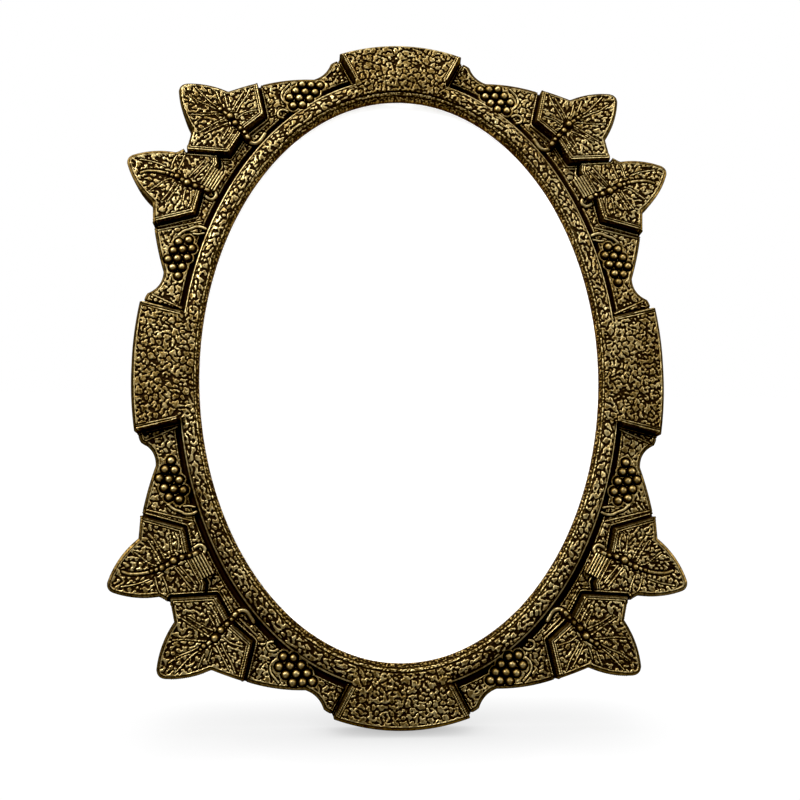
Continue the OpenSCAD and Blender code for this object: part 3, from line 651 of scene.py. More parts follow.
class Relief:
    """The raised and sunk forms of a quarter of the cast front."""

    def __init__(self, points, moulding_share, groove_gap):
        self.points = points
        self.moulding_share = self.evened(moulding_share)
        self.groove_gap = groove_gap
        self.rim_gap = distance(points, outline_stretch(0, len(OUTLINE) - 1, RIM_STEP))
        self.field = sizes().field / MM
        self.floor = sizes().groove_floor / MM
        self.hollow = sizes().grain_depth / MM
        count = len(points)
        self.height = np.full(count, self.field)
        self.worn = np.full(count, FIELD_WORN)
        self.grain = np.ones(count)
        self.pitch = np.full(count, sizes().grain_pitch / MM)
        self.direction = np.zeros(count)
        self.drawn_out = np.zeros(count)

    def evened(self, t):
        """The share of the moulding, with the inner lines drawn closer away from its ends."""
        upright = 1 - np.abs(self.points[:, 0]) / np.hypot(*self.points.T)
        inner = SIDE_SHARE + (PANEL_SHARE - SIDE_SHARE) * upright**2
        beyond = PANEL_SHARE + (t - inner) / (1 - inner) * (1 - PANEL_SHARE)
        return np.where(t > 1, t, np.where(t < inner, t / inner * PANEL_SHARE, beyond))

    def set(self, where, height, worn, grain=0.0):
        """Gives the points of a mask their height, their wear with any painted highlight, and their
        share of the grain.
        """
        self.height = np.where(where, height, self.height)
        self.worn = np.where(where, worn, self.worn)
        self.grain = np.where(where, grain, self.grain)

    def lines_along(self, where, gap, face):
        """Two fine ridges along an edge, with a dark line outside each and one inside them."""
        at = [DARK_EDGE]
        for width in (FINE_LINE, FINE_GAP, FINE_LINE, FINE_GAP):
            at += [at[-1] + width]
        self.set(where & (gap < at[4]), face - self.hollow, DARK)
        self.set(where & (gap > at[2]) & (gap < at[3]), face, FINE_WORN)
        self.set(where & (gap < at[1]), face, LINE_WORN)
        self.set(where & (gap < DARK_EDGE), face, NEAR_DARK)

    def line_beyond(self, where, gap):
        """A fine ridge on the ground along the far edge of a groove, with a dark line beyond it."""
        raised = where & (self.height > self.floor + RAISED)
        ridge = raised & (gap < FINE_LINE)
        dark = raised & (gap >= FINE_LINE) & (gap < FINE_LINE + FINE_GAP)
        self.set(dark, self.height - self.hollow, DARK)
        self.set(ridge, self.height, LINE_WORN)

    def moulding(self):
        """The oval moulding, with the groove and the fine line round it."""
        places, rises, worn, grain = np.array(MOULDING).T
        rise = sizes().moulding / MM - self.field
        t = self.moulding_share
        on = t <= 1
        height = self.field + rise * np.interp(t, places, rises)
        self.set(on, height, np.interp(t, places, worn), np.interp(t, places, grain))
        x, y = (self.points / sight_half() ** 2).T
        self.direction = np.where(on, np.arctan2(x, -y), self.direction)
        self.drawn_out = np.where(on, 1.0, self.drawn_out)
        pitch = np.where(t < PANEL_SHARE, sizes().line_pitch, sizes().ring_pitch) / MM
        self.pitch = np.where(on, pitch, self.pitch)
        beyond = self.groove_gap
        line_end = GROOVE + FINE_LINE
        self.set((beyond > 0) & (beyond < GROOVE), self.floor, DARK)
        self.set((beyond >= GROOVE) & (beyond < line_end), self.field, FINE_WORN)
        dark = (beyond >= line_end) & (beyond < line_end + FINE_GAP)
        self.set(dark, self.field - self.hollow, DARK)

    def fine_lines(self):
        """Fine ridges on the fields, each in a dark line."""
        for half_width, line in FINE_LINES:
            gap = distance(self.points, drawn(line))
            self.set(gap < half_width + FINE_GAP, self.field - self.hollow, DARK)
            self.set(gap < half_width, self.field, FINE_WORN)

    def comb(self):
        """The parallel ridges, raised in one dark hollow."""
        line = drawn(COMB_FIRST)
        step = drawn(COMB_STEP)
        face = sizes().side_leaf / MM
        gaps = [distance(self.points, line + step * i) for i in range(COMB_COUNT)]
        for gap in gaps:
            self.set(gap < math.hypot(*step) / 2 + COMB_LAP, face - COMB_DEPTH, DARK)
        for gap in gaps:
            self.set(gap < COMB_RIDGE, face - COMB_DROP, LINE_WORN)

    def leaf(self, rows, inner, face, midrib, veins, beads):
        """A raised leaf, from rows of the outline and its inner edge, with all that is on it."""
        inner = drawn(inner)
        rim = outline_stretch(*rows, LEAF_STEP)
        leaf = inside(self.points, np.concatenate([rim, inner]))
        edge = np.concatenate([rim[-1:], inner, rim[:1]])
        gap = distance(self.points, edge)
        self.line_beyond(~leaf & (gap >= LEAF_GROOVE), gap - LEAF_GROOVE)
        ground = np.maximum(self.height, self.field)
        self.set(~leaf & (gap < LEAF_GROOVE), self.floor, DARK)
        fall = (face - ground) * np.clip(gap / LEAF_SLOPE, 0, 1)
        self.set(~leaf & (gap < LEAF_SLOPE), face - fall, SLOPE_WORN)
        self.set(leaf, face, worn=1.0, grain=1.0)
        away = self.points - drawn([beads[0][:2]])
        self.direction = np.where(leaf, np.arctan2(away[:, 1], away[:, 0]), self.direction)
        self.drawn_out = np.where(leaf, 1.0, self.drawn_out)
        self.pitch = np.where(leaf, sizes().leaf_pitch / MM, self.pitch)
        self.leaf_veins(leaf, veins, face)
        self.lines_along(leaf, gap, face)
        self.midrib(midrib, face)
        for x, y, radius in beads:
            self.dome(drawn([(x, y)])[0], radius, face, BEAD_RISE)

    def leaf_veins(self, leaf, veins, face):
        """Fine veins, each between two dark lines."""
        gap = np.min([distance(self.points, smoothed(drawn(vein))) for vein in veins], axis=0)
        self.set(leaf & (gap < VEIN_HALF + FINE_GAP), face - self.hollow, DARK)
        self.set(leaf & (gap < VEIN_HALF), face, LINE_WORN)

    def midrib(self, line, face):
        """A round rib in a dark groove, finer toward the leaf's tip."""
        line = smoothed(drawn(line))
        away = np.hypot(*(self.points - line[0]).T) / np.hypot(*(line[-1] - line[0]))
        half_width = MIDRIB_HALF * (1 - MIDRIB_TAPER * np.clip(away, 0, 1))
        gap = distance(self.points, line)
        width, depth = MIDRIB_GROOVE
        self.set(gap < half_width + width, face - depth, DARK)
        round_top = np.sqrt(np.maximum(1 - (gap / half_width) ** 2, 0))
        height = face - MIDRIB_ROUND + MIDRIB_ROUND * round_top
        foot_worn, top_worn = MIDRIB_WORN
        self.set(gap < half_width, height, foot_worn + top_worn * round_top**2)

    def dome(self, middle, radius, base, rise):
        """A ball half sunk in the ground, in a dark ring."""
        gap = np.hypot(*(self.points - middle).T)
        width, depth = DOME_RING
        ring = (gap < radius + width) & (gap >= radius * DOME_SHARE)
        self.set(ring, np.minimum(self.height, base - depth), DARK)
        top = base + rise - radius * DOME_SUNK + np.sqrt(np.maximum(radius**2 - gap**2, 0))
        side_worn, top_worn = DOME_WORN
        worn = side_worn + top_worn * smooth_step(1 - gap / radius, *DOME_CROWN)
        self.set(gap < radius * DOME_SHARE, np.maximum(top, base - DOME_LOWEST), worn)

    def grapes(self):
        """The clusters of grapes, each sunk in a dark hollow in plain ground."""
        radius = sizes().grape / MM / 2
        ground, drop = CLUSTER_GROUND
        for cluster in (TOP_GRAPES, SIDE_GRAPES):
            places = drawn(cluster)
            gaps = np.min([np.hypot(*(self.points - place).T) for place in places], axis=0)
            self.set(gaps < radius + ground, self.field - drop, CLUSTER_WORN)
            self.set(gaps < radius + DOME_RING[0], self.floor, DARK)
            for place in places:
                self.dome(place, radius, self.field, 0.0)

    def curls(self):
        """The stems, tendrils and scrolls, round on top, each in dark ground."""
        width, depth = CURL_GROUND
        foot_worn, top_worn = CURL_WORN
        for half_width, line in CURLS:
            gap = distance(self.points, smoothed(drawn(line)))
            self.set(gap < half_width + width, self.field - depth, DARK)
            round_top = np.sqrt(np.maximum(half_width**2 - gap**2, 0))
            worn = foot_worn + top_worn * round_top / half_width
            self.set(gap < half_width, self.field + round_top, worn)

    def panel(self, end, rest):
        """A raised panel, from the line of its end and points round the rest of it."""
        end = drawn(end)
        polygon = np.concatenate([end, drawn(rest)])
        on = inside(self.points, polygon) & (self.moulding_share > PANEL_SHARE)
        gap = distance(self.points, end)
        outside = ~inside(self.points, polygon) & (self.moulding_share > 1)
        face = sizes().panel / MM
        self.set(outside & (gap < PANEL_GROOVE), self.floor, DARK)
        step = outside & (gap > PANEL_STEP[0]) & (gap < PANEL_STEP[1])
        self.set(step, self.floor + STEP_HEIGHT, STEP_WORN)
        fall = (face - self.field) * np.clip(gap / PANEL_SLOPE, 0, 1)
        self.set(outside & (gap < PANEL_SLOPE), face - fall, SLOPE_WORN)
        on_moulding = on & (self.moulding_share < 1)
        crown = sizes().moulding / MM
        blend = smooth_step(self.moulding_share, PANEL_SHARE, PANEL_RISE_END)
        self.set(on, face, PANEL_WORN, grain=1.0)
        self.set(on_moulding, crown + (face - crown) * blend, PANEL_WORN, grain=1.0)
        self.drawn_out = np.where(on, 0.0, self.drawn_out)
        self.pitch = np.where(on, sizes().grain_pitch / MM, self.pitch)
        self.lines_along(on & (self.groove_gap > 0), gap, face)

    def rim(self):
        """The bevel round the outline, with a thin bright line painted where the faces begin, a
        painted highlight on that edge.
        """
        gap = self.rim_gap
        outside_grooves = self.worn + self.grain > GROOVE_MARKS
        # Painted highlight: this line is not raised, only painted bright where the bevel meets the
        # faces.
        line = (gap > RIM_BAND) & (gap < RIM_BAND + RIM_LINE) & outside_grooves
        self.set(line, self.height, LINE_WORN)
        raised = self.height > self.field + RAISED
        low = np.where(raised, sizes().rim_height / MM, self.height - sizes().rim_drop / MM)
        share = np.clip(gap / RIM_BAND, 0, 1)
        band = np.interp(share, RIM_PLACES, RIM_WORN)
        worn = np.where(self.height > self.floor + SUNK, band, RIM_FLOOR_WORN)
        self.set(gap < RIM_BAND, low + (self.height - low) * share, worn)

    def carve(self):
        """All the forms, each over those before it."""
        self.moulding()
        self.fine_lines()
        self.curls()
        self.grapes()
        side, upper = sizes().side_leaf / MM, sizes().upper_leaf / MM
        self.leaf(SIDE_LEAF_ROWS, SIDE_LEAF_INNER, side, SIDE_MIDRIB, SIDE_VEINS, SIDE_BEADS)
        self.comb()
        self.leaf(UPPER_LEAF_ROWS, UPPER_LEAF_INNER, upper, UPPER_MIDRIB, UPPER_VEINS, UPPER_BEADS)
        self.panel(TOP_PANEL_END, TOP_PANEL_REST)
        self.panel(SIDE_PANEL_END, SIDE_PANEL_REST)
        self.rim()


# The mesh of the cast front: rings of points from the sight edge out over the face, down the rim,
# in across the back and up the rebate, so that it closes on itself


def oval_radius(directions, half):
    """How far an oval reaches in each direction, from half its width and height."""
    return 1 / np.sqrt(((directions / half) ** 2).sum(axis=1))


def face_radii(directions, rim_radius):
    """Radii of the face's rings, and each ring's share of the moulding and gap past it."""
    sight = sight_half()
    crown = sight + np.array([sizes().moulding_side, sizes().moulding_end]) / MM
    inner = oval_radius(directions, sight)
    outer = oval_radius(directions, crown)
    normal = directions / crown**2
    slant = (normal * directions).sum(axis=1) / np.linalg.norm(normal, axis=1)
    groove_end = outer + (GROOVE + FINE_LINE) / slant
    rim_start = rim_radius - (RIM_BAND + RIM_LINE)
    starts = (inner, outer, groove_end, rim_start)
    ends = (outer, groove_end, rim_start, rim_radius)
    stretches = zip(starts, ends, FACE_RINGS)
    rings = [start + (end - start) * i / n for start, end, n in stretches for i in range(n)]
    radii = np.array(rings + [rim_radius])
    moulding_share = (radii - inner) / (outer - inner)
    groove_gap = (radii - outer) * slant
    return radii, moulding_share, groove_gap


def carved_quarter():
    """The face of a quarter: rings of points, and what each carries."""
    rim = outline_stretch(0, len(OUTLINE) - 1, sizes().column_step / MM)
    rim_radius = np.linalg.norm(rim, axis=1)
    directions = rim / rim_radius[:, None]
    radii, moulding_share, groove_gap = face_radii(directions, rim_radius)
    points = radii[:, :, None] * directions
    relief = Relief(points.reshape(-1, 2), moulding_share.ravel(), groove_gap.ravel())
    relief.carve()
    carried = np.stack([getattr(relief, name) for name in CARRIED], axis=1)
    return points, carried.reshape(*radii.shape, -1)


def mirrored(points, carried, axis, columns):
    """Columns of the face mirrored across an axis of the plane."""
    points, carried = points[:, columns].copy(), carried[:, columns].copy()
    points[..., axis] *= -1
    carried[..., DIRECTION] = (math.pi if axis == 0 else 0) - carried[..., DIRECTION]
    return points, carried


def all_round(points, carried):
    """The whole face from its upper right quarter, clockwise from the top."""
    for axis, last_column in ((1, 0), (0, 1)):
        columns = list(range(points.shape[1] - 2, last_column - 1, -1))
        more_points, more_carried = mirrored(points, carried, axis, columns)
        points = np.concatenate([points, more_points], axis=1)
        carried = np.concatenate([carried, more_carried], axis=1)
    return points, carried


def grained(points, carried):
    """Cuts the grain into the face; gives each point's height, and its wear with the pebbles'
    painted edge highlight.
    """
    height, worn, grain, direction, drawn_out, pitch = np.moveaxis(carried, -1, 0)
    grains = Grain(sizes().seed)
    flat = points.reshape(-1, 2), pitch.ravel(), direction.ravel(), drawn_out.ravel()
    level = grains.at(*flat).reshape(height.shape)
    hollow = 1 - smooth_step(level, *HEIGHT_LEVELS)
    height = height - grain * hollow * sizes().grain_depth / MM
    bare = smooth_step(level, *FINISH_LEVELS)
    # Painted highlight: the pebbles' middles are painted darker than their edges, which stand out
    # bright.
    middle = 1 - MIDDLE_SHADE * smooth_step(level, *MIDDLE_LEVELS)
    return height, worn * (1 - grain * (1 - bare * middle))


def closing_rings(rim, height):
    """Rings that take the rim down to the back, in to the rebate and up to the sight edge.

    Each is an array of points, with its height and its wear.
    """
    radius = np.linalg.norm(rim, axis=1)
    directions = rim / radius[:, None]
    sight = oval_radius(directions, sight_half())
    rebate_border = np.array([sizes().rebate_side, sizes().rebate_end]) / MM
    rebate = oval_radius(directions, half_size() - rebate_border)
    depth = sizes().rebate_depth / MM
    rings = []

    def add(at_radius, at_height, worn):
        ring = directions * np.broadcast_to(at_radius, radius.shape)[:, None]
        rings.append((ring, np.broadcast_to(at_height, radius.shape), worn))

    for t in SIDE_RINGS:
        add(radius, EDGE_ROUND + (height - EDGE_ROUND) * t, SIDE_WORN)
    add(radius, EDGE_ROUND, SIDE_WORN)
    add(radius - EDGE_ROUND / 3, EDGE_ROUND / 3, BACK_EDGE_WORN)
    back = radius - EDGE_ROUND
    for t in np.linspace(0, 1, BACK_RINGS + 1):
        add(back + (rebate - back) * t, 0, BACK_WORN)
    add(rebate, depth / 2, BACK_WORN)
    add(rebate, depth, BACK_WORN)
    add((rebate + sight) / 2, depth, BACK_WORN)
    add(sight, depth, SIGHT_WORN)
    return rings


def cast_front_mesh():
    """The mesh of the cast front, with its wear and painted highlights as a point attribute."""
    points, carried = all_round(*carved_quarter())
    height, worn = grained(points, carried)
    rings = closing_rings(points[-1], height[-1])
    points = np.concatenate([points] + [ring[None] for ring, _, _ in rings])
    height = np.concatenate([height] + [h[None] for _, h, _ in rings])
    columns = height.shape[1]
    worn = np.concatenate([worn] + [np.full((1, columns), w) for _, _, w in rings])
    place = np.concatenate([points, height[..., None]], axis=2).reshape(-1, 3) * MM
    matrix = np.array(plane_matrix())
    place = place @ matrix[:3, :3].T + matrix[:3, 3]
    place[:, 2] = np.maximum(place[:, 2], 0)
    mesh = closed_grid("cast_front", place, *height.shape)
    mark_sharp_rings(mesh, columns, sharp_rings(height.shape[0], len(rings)))
    rubbed_and_highlit = mesh.attributes.new("worn", "FLOAT", "POINT")
    rubbed_and_highlit.data.foreach_set("value", worn.ravel().astype(np.float32))
    return mesh


def sharp_rings(count, closing):
    """The rings with a sharp edge.

    They are the sight edge, the rim, the rebate's edge at the back, the corner at its foot and the
    sight edge's own back.
    """
    rim = count - closing - 1
    return (0, rim, count - 5, count - 3, count - 1)


def closed_grid(name, place, rings, columns):
    """A mesh of quads over rings of points, each ring and the row of rings closed on itself."""
    ring, column = np.meshgrid(np.arange(rings), np.arange(columns), indexing="ij")
    next_ring, next_column = (ring + 1) % rings, (column + 1) % columns
    corners = np.stack(
        [
            ring * columns + column,
            ring * columns + next_column,
            next_ring * columns + next_column,
            next_ring * columns + column,
        ],
        axis=2,
    ).reshape(-1, 4)
    mesh = bpy.data.meshes.new(name)
    mesh.vertices.add(len(place))
    mesh.vertices.foreach_set("co", place.astype(np.float32).ravel())
    mesh.loops.add(corners.size)
    mesh.loops.foreach_set("vertex_index", corners.astype(np.int32).ravel())
    mesh.polygons.add(len(corners))
    mesh.polygons.foreach_set("loop_start", np.arange(0, corners.size, 4, dtype=np.int32))
    mesh.polygons.foreach_set("loop_total", np.full(len(corners), 4, np.int32))
    mesh.polygons.foreach_set("use_smooth", np.ones(len(corners), bool))
    mesh.update(calc_edges=True)
    return mesh


def mark_sharp_rings(mesh, columns, rings):
    """Marks the edges along the given rings as sharp."""
    ends = np.empty(len(mesh.edges) * 2, np.int32)
    mesh.edges.foreach_get("vertices", ends)
    ring = ends.reshape(-1, 2) // columns
    sharp = (ring[:, 0] == ring[:, 1]) & np.isin(ring[:, 0], rings)
    mesh.edges.foreach_set("use_edge_sharp", sharp)


# Materials


class Nodes:
    """Short ways to build a material's nodes."""

    def __init__(self, name):
        self.material = bpy.data.materials.new(name)
        self.material.use_nodes = True
        self.tree = self.material.node_tree
        self.shader = self.tree.nodes["Principled BSDF"]

    def new(self, kind, **values):
        """A node with its sockets and settings given by name."""
        node = self.tree.nodes.new(kind)
        for key, value in values.items():
            if key in node.inputs:
                node.inputs[key].default_value = value
            else:
                setattr(node, key, value)
        return node

    def link(self, output, target):
        self.tree.links.new(output, target)

    def place(self):
        """Where a point lies on the piece, in metres."""
        return self.new("ShaderNodeTexCoord").outputs["Object"]

    def noise(self, pitch, detail=3.0, roughness=0.55):
        """A noise whose marks lie a pitch apart, in metres."""
        node = self.new("ShaderNodeTexNoise", Scale=1 / pitch, Detail=detail, Roughness=roughness)
        self.link(self.place(), node.inputs["Vector"])
        return node.outputs["Fac"]

    def ramp(self, value, stops):
        """Colours spread over a value, each stop with its place and its colour."""
        node = self.new("ShaderNodeValToRGB")
        elements = node.color_ramp.elements
        while len(elements) < len(stops):
            elements.new(0.5)
        for element, (at, rgb) in zip(elements, stops):
            element.position = at
            element.color = (*rgb, 1)
        self.link(value, node.inputs["Fac"])
        return node.outputs["Color"]

    def spread(self, value, low, high, to_low, to_high):
        """Value from low to high, spread from to_low to to_high."""
        node = self.new("ShaderNodeMapRange")
        for index, number in enumerate((low, high, to_low, to_high), 1):
            node.inputs[index].default_value = number
        self.link(value, node.inputs[0])
        return node.outputs[0]

    def maths(self, operation, first, second):
        """Two values taken together, each a number or another node's output."""
        node = self.new("ShaderNodeMath", operation=operation)
        for socket, value in zip(node.inputs, (first, second)):
            if isinstance(value, (int, float)):
                socket.default_value = value
            else:
                self.link(value, socket)
        return node.outputs[0]

    def tinted(self, value, low, high):
        """The shader's colour, from low to high over most of a noise."""
        ramp = self.ramp(value, ((NOISE_RANGE[0], low), (NOISE_RANGE[1], high)))
        self.link(ramp, self.shader.inputs["Base Color"])

    def roughened(self, value, low, high):
        """The shader's roughness, from low to high over most of a noise."""
        rough = self.spread(value, *NOISE_RANGE, low, high)
        self.link(rough, self.shader.inputs["Roughness"])

    def bump(self, height, strength, depth):
        """Fine marks in the surface, with their depth in metres."""
        node = self.new("ShaderNodeBump", Strength=strength, Distance=depth)
        self.link(height, node.inputs["Height"])
        self.link(node.outputs["Normal"], self.shader.inputs["Normal"])

    def set(self, **values):
        """Sets the shader's own sockets."""
        for key, value in values.items():
            self.shader.inputs[key.replace("_", " ")].default_value = value


def toned(rgb, times):
    """A colour made darker or lighter."""
    return tuple(c * times for c in rgb)


def antique_brass():
    """Brass rubbed bright where it is worn and on the painted highlights, down to dark paint in the
    hollows.
    """
    nodes = Nodes("antique_brass")
    finish = colours()
    rubbed_and_highlit = nodes.new("ShaderNodeAttribute", attribute_name="worn").outputs["Fac"]
    blotch = nodes.noise(pitch=0.012, detail=4)
    speck = nodes.noise(pitch=0.0009, detail=3)
    blotched = nodes.spread(blotch, *NOISE_RANGE, to_low=-0.14, to_high=0.10)
    uneven = nodes.maths("ADD", blotched, rubbed_and_highlit)
    specked = nodes.spread(speck, *NOISE_RANGE, to_low=-0.22, to_high=0.14)
    uneven = nodes.maths("ADD", uneven, specked)
    stops = (
        (0.15, tuple(finish.hollow)),
        (0.42, tuple(finish.brass_dark)),
        (0.70, tuple(finish.brass_middle)),
        (1.0, tuple(finish.brass_bright)),
    )
    nodes.link(nodes.ramp(uneven, stops), nodes.shader.inputs["Base Color"])
    nodes.set(Metallic=1.0, Specular_Tint=(*finish.sheen, 1))
    rough = nodes.spread(uneven, low=0.1, high=1.0, to_low=0.62, to_high=0.38)
    nodes.link(rough, nodes.shader.inputs["Roughness"])
    nodes.bump(nodes.noise(pitch=0.0007, detail=3), strength=0.35, depth=0.00015)
    return nodes.material


def clear_glass():
    """Clear glass with a faint green tint."""
    nodes = Nodes("clear_glass")
    nodes.tinted(nodes.noise(pitch=0.05, detail=2), (0.93, 0.97, 0.96), (0.96, 0.98, 0.97))
    nodes.set(Roughness=0.03, Alpha=0.12, IOR=1.5, Coat_Weight=1.0, Coat_Roughness=0.02)
    return nodes.material


def blank_card():
    """White card with a fine tooth, which glows a little so that it stays white in the shade."""
    nodes = Nodes("blank_card")
    r, g, b = colours().card
    creamier = (r * 0.985, g * 0.985, b * 0.98)
    nodes.tinted(nodes.noise(pitch=0.0006, detail=4), low=creamier, high=(r, g, b))
    nodes.set(Roughness=0.75, Emission_Color=(1, 1, 1, 1))
    nodes.set(Emission_Strength=stage_sizes().card_glow)
    nodes.bump(nodes.noise(pitch=0.0004, detail=4), strength=0.12, depth=0.00005)
    return nodes.material


def board_cover():
    """Black paper with a fine leather grain, its creases painted darker and its cells lighter as
    painted shade and light.
    """
    nodes = Nodes("board_cover")
    cover = colours().board
    cells = nodes.new("ShaderNodeTexVoronoi", Scale=1 / LEATHER_PITCH, feature="DISTANCE_TO_EDGE")
    nodes.link(nodes.place(), cells.inputs["Vector"])
    crease = nodes.spread(cells.outputs["Distance"], low=0, high=0.12, to_low=0, to_high=1)
    # Painted shade: the creases get a darker copy of the cover colour and the cells' middles a
    # lighter one.
    stops = ((0.0, toned(cover, 0.4)), (1.0, toned(cover, 1.6)))
    nodes.link(nodes.ramp(crease, stops), nodes.shader.inputs["Base Color"])
    nodes.roughened(nodes.noise(pitch=0.006), low=0.5, high=0.68)
    nodes.bump(crease, strength=0.5, depth=0.00012)
    return nodes.material


def brushed(name, rgb, rough, streak):
    """Sheet metal with fine scratches along one direction."""
    nodes = Nodes(name)
    drawn_out = nodes.new("ShaderNodeMapping", Scale=(1, SCRATCH_SHARE, 1))
    nodes.link(nodes.place(), drawn_out.inputs["Vector"])
    lines = nodes.new("ShaderNodeTexNoise", Scale=1 / streak, Detail=4.0)
    nodes.link(drawn_out.outputs[0], lines.inputs["Vector"])
    streaks = nodes.maths("MULTIPLY", lines.outputs["Fac"], 0.6)
    cloud = nodes.maths("MULTIPLY", nodes.noise(pitch=0.004), 0.4)
    marks = nodes.maths("ADD", streaks, cloud)
    stops = ((0.25, toned(rgb, 0.72)), (0.75, tuple(rgb)))
    nodes.link(nodes.ramp(marks, stops), nodes.shader.inputs["Base Color"])
    nodes.set(Metallic=1.0)
    nodes.roughened(marks, low=rough + 0.12, high=rough - 0.05)
    nodes.bump(lines.outputs["Fac"], strength=0.2, depth=0.00004)
    return nodes.material


def plated(name, rgb, rough):
    """Plated metal with faint handling marks."""
    nodes = Nodes(name)
    marks = nodes.noise(pitch=0.0016, detail=4)
    nodes.tinted(marks, low=toned(rgb, 0.82), high=tuple(rgb))
    nodes.set(Metallic=1.0)
    nodes.roughened(marks, low=rough + 0.1, high=rough)
    nodes.bump(nodes.noise(pitch=0.0006), strength=0.1, depth=0.00003)
    return nodes.material


def pale_floor():
    """A wide white floor that glows evenly instead of being lit, with a painted shadow in its glow
    close to a piece.
    """
    nodes = Nodes("pale_floor")
    stage = stage_sizes()
    stops = ((NOISE_RANGE[0], (DULLEST_FLOOR,) * 3), (NOISE_RANGE[1], (1.0, 1.0, 1.0)))
    whites = nodes.ramp(nodes.noise(pitch=0.3, detail=2), stops)
    nodes.link(whites, nodes.shader.inputs["Emission Color"])
    # Painted shadow: ambient occlusion within the shadow reach dims the floor's glow from
    # floor_glow down to floor_shade.
    painted_shadow = nodes.new("ShaderNodeAmbientOcclusion", Distance=stage.shadow_reach, samples=32)
    shade, light = stage.floor_shade, stage.floor_glow
    glow = nodes.spread(painted_shadow.outputs["AO"], low=0, high=1, to_low=shade, to_high=light)
    nodes.link(glow, nodes.shader.inputs["Emission Strength"])
    nodes.set(Base_Color=(0, 0, 0, 1), Roughness=1, Specular_IOR_Level=0)
    return nodes.material


# Placing the pieces


def own_piece(mesh, material, body, slot, *nodes):
    """A piece of the scene's own, which stands for CAD nodes and moves with their body."""
    mesh.materials.append(material)
    piece = bpy.data.objects.new(mesh.name, mesh)
    bpy.context.collection.objects.link(piece)
    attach(piece, body)
    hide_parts(*nodes)


def dress(material, *nodes):
    """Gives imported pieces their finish."""
    for name in nodes:
        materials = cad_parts[name].data.materials
        materials.clear()
        materials.append(material)


class FRAME_OT_cast_front(bpy.types.Operator):
    """Build the cast front with its leaves, grapes, panels and moulding"""

    bl_idname = "frame.cast_front"
    bl_label = "Cast front"

    def execute(self, context):
        own_piece(cast_front_mesh(), antique_brass(), "frame", "antique_brass", "front_casting")
        return {"FINISHED"}


class FRAME_OT_glazing(bpy.types.Operator):
    """Finish the glass and the blank card behind it"""

    bl_idname = "frame.glazing"
    bl_label = "Glass and card"

    def execute(self, context):
        dress(clear_glass(), "glass")
        dress(blank_card(), "picture_card")
        return {"FINISHED"}


class FRAME_OT_board(bpy.types.Operator):
    """Finish the backing board and the easel leg"""

    bl_idname = "frame.board"
    bl_label = "Backing board and leg"

    def execute(self, context):
        dress(board_cover(), "backing_board", "strut_board")
        return {"FINISHED"}


class FRAME_OT_hardware(bpy.types.Operator):
    """Finish the hinge, the rivets, the turn buttons, their screws and the wall ring"""

    bl_idname = "frame.hardware"
    bl_label = "Hardware"

    def execute(self, context):
        finish = colours()
        buttons = [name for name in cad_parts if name.startswith("turn_button_")]
        sheet_steel = brushed("zinc_steel", finish.steel, rough=0.40, streak=0.0006)
        rivet_steel = plated("bright_rivet", finish.steel, rough=0.22)
        dress(sheet_steel, "board_hinge_leaf", "strut_hinge_leaf", "ring_strap", *buttons)
        dress(rivet_steel, "board_rivets", "strut_rivets", "strap_rivet", "hinge_pin")
        dress(plated("brass_screw", finish.brass_plate, rough=0.24), "button_screws")
        dress(plated("nickel_wire", finish.nickel, rough=0.14), "hanging_ring")
        return {"FINISHED"}


def lit_area(name, watts, size, place):
    """A rectangular lamp, turned to the lit point."""
    lamp = bpy.data.lights.new(name, "AREA")
    lamp.shape = "RECTANGLE"
    lamp.size, lamp.size_y = size
    lamp.energy = watts
    light = bpy.data.objects.new(name, lamp)
    light.location = place
    light.rotation_euler = (Vector(LIT_POINT) - Vector(place)).to_track_quat("-Z", "Y").to_euler()
    bpy.context.collection.objects.link(light)


def aim_camera():
    """Sets the camera where the photograph was taken from, as it stands to the leaning frame."""
    stage = stage_sizes()
    lens = bpy.data.cameras.new("camera")
    lens.lens = stage.lens
    lens.sensor_width = SENSOR_WIDTH
    lens.clip_start, lens.clip_end = CLOSEST_SEEN, FARTHEST_SEEN
    camera = bpy.data.objects.new("camera", lens)
    turned = (
        Matrix.Rotation(stage.roll, 4, "Z")
        @ Matrix.Rotation(-stage.pan, 4, "Y")
        @ Matrix.Rotation(-stage.tilt, 4, "X")
    )
    # Seen from the camera, y points down and z away from it
    flip = Matrix.Diagonal((1, -1, -1, 1))
    offset = Matrix.Translation((stage.across, -stage.above, stage.distance))
    seen = flip @ offset @ turned @ flip
    face = Matrix.Translation((0, 0, stage.face))
    camera.matrix_world = plane_matrix() @ face @ seen.inverted()
    bpy.context.collection.objects.link(camera)
    bpy.context.scene.camera = camera


def white_room():
    """Soft light, brighter from above and below, and a plain white backdrop."""
    stage = stage_sizes()
    world = bpy.data.worlds.new("white_room")
    world.use_nodes = True
    nodes, link = world.node_tree.nodes, world.node_tree.links.new
    backdrop = nodes["Background"]
    backdrop.inputs["Color"].default_value = (1, 1, 1, 1)
    place = nodes.new("ShaderNodeTexCoord")
    parts = nodes.new("ShaderNodeSeparateXYZ")
    link(place.outputs["Generated"], parts.inputs[0])
    steep = nodes.new("ShaderNodeMath")
    steep.operation = "ABSOLUTE"
    link(parts.outputs["Z"], steep.inputs[0])
    height = nodes.new("ShaderNodeMapRange")
    for index, number in enumerate((*ROOM_STEEPNESS, stage.room_low, stage.room_high), 1):
        height.inputs[index].default_value = number
    link(steep.outputs[0], height.inputs[0])
    room = nodes.new("ShaderNodeBackground")
    link(height.outputs[0], room.inputs["Strength"])
    path = nodes.new("ShaderNodeLightPath")
    mix = nodes.new("ShaderNodeMixShader")
    link(path.outputs["Is Camera Ray"], mix.inputs[0])
    link(room.outputs[0], mix.inputs[1])
    link(backdrop.outputs[0], mix.inputs[2])
    link(mix.outputs[0], nodes["World Output"].inputs["Surface"])
    bpy.context.scene.world = world


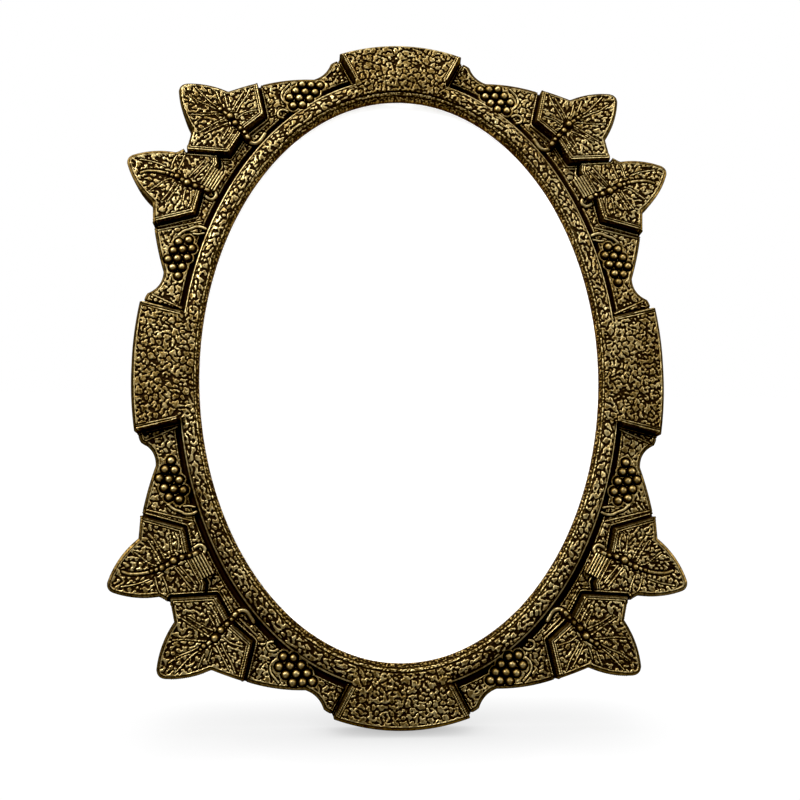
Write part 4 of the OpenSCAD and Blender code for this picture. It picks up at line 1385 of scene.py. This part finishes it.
class FRAME_OT_stage(bpy.types.Operator):
    """Set the floor, the lights and the camera"""

    bl_idname = "frame.stage"
    bl_label = "Stage"

    def execute(self, context):
        stage = stage_sizes()
        half = stage.floor_size / 2
        mesh = bpy.data.meshes.new("floor")
        corners = [(-half, -half, 0), (half, -half, 0), (half, half, 0), (-half, half, 0)]
        mesh.from_pydata(corners, [], [(0, 1, 2, 3)])
        mesh.materials.append(pale_floor())
        floor = bpy.data.objects.new("floor", mesh)
        context.collection.objects.link(floor)
        floor.visible_glossy = False
        for name, size, place in LAMPS:
            lit_area(name, getattr(stage, name + "_power"), size, place)
        white_room()
        aim_camera()
        view = context.scene.view_settings
        view.view_transform = "Standard"
        view.use_curve_mapping = True
        view.curve_mapping.black_level = (stage.black_point,) * 3
        view.curve_mapping.update()
        return {"FINISHED"}


class FRAME_PT_pieces(bpy.types.Panel):
    """The pieces of the picture frame"""

    bl_label = "Picture frame"
    bl_idname = "FRAME_PT_pieces"
    bl_space_type = "VIEW_3D"
    bl_region_type = "UI"
    bl_category = "Picture frame"

    def draw(self, context):
        for group in (sizes(), colours(), stage_sizes()):
            column = self.layout.column(align=True)
            for name in group.__annotations__:
                column.prop(group, name)
        for operator in OPERATORS:
            self.layout.operator(operator.bl_idname)


OPERATORS = (
    FRAME_OT_cast_front,
    FRAME_OT_glazing,
    FRAME_OT_board,
    FRAME_OT_hardware,
    FRAME_OT_stage,
)
CLASSES = (CastingSizes, FinishColours, StageSizes, *OPERATORS, FRAME_PT_pieces)


def register():
    for each in CLASSES:
        bpy.utils.register_class(each)
    bpy.types.Scene.cast_front = PointerProperty(type=CastingSizes)
    bpy.types.Scene.frame_finish = PointerProperty(type=FinishColours)
    bpy.types.Scene.frame_stage = PointerProperty(type=StageSizes)


def unregister():
    for name in ("cast_front", "frame_finish", "frame_stage"):
        delattr(bpy.types.Scene, name)
    for each in reversed(CLASSES):
        bpy.utils.unregister_class(each)


def main():
    register()
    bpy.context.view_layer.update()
    bpy.ops.frame.cast_front()
    bpy.ops.frame.glazing()
    bpy.ops.frame.board()
    bpy.ops.frame.hardware()
    bpy.ops.frame.stage()


if __name__ == "__main__":
    main()
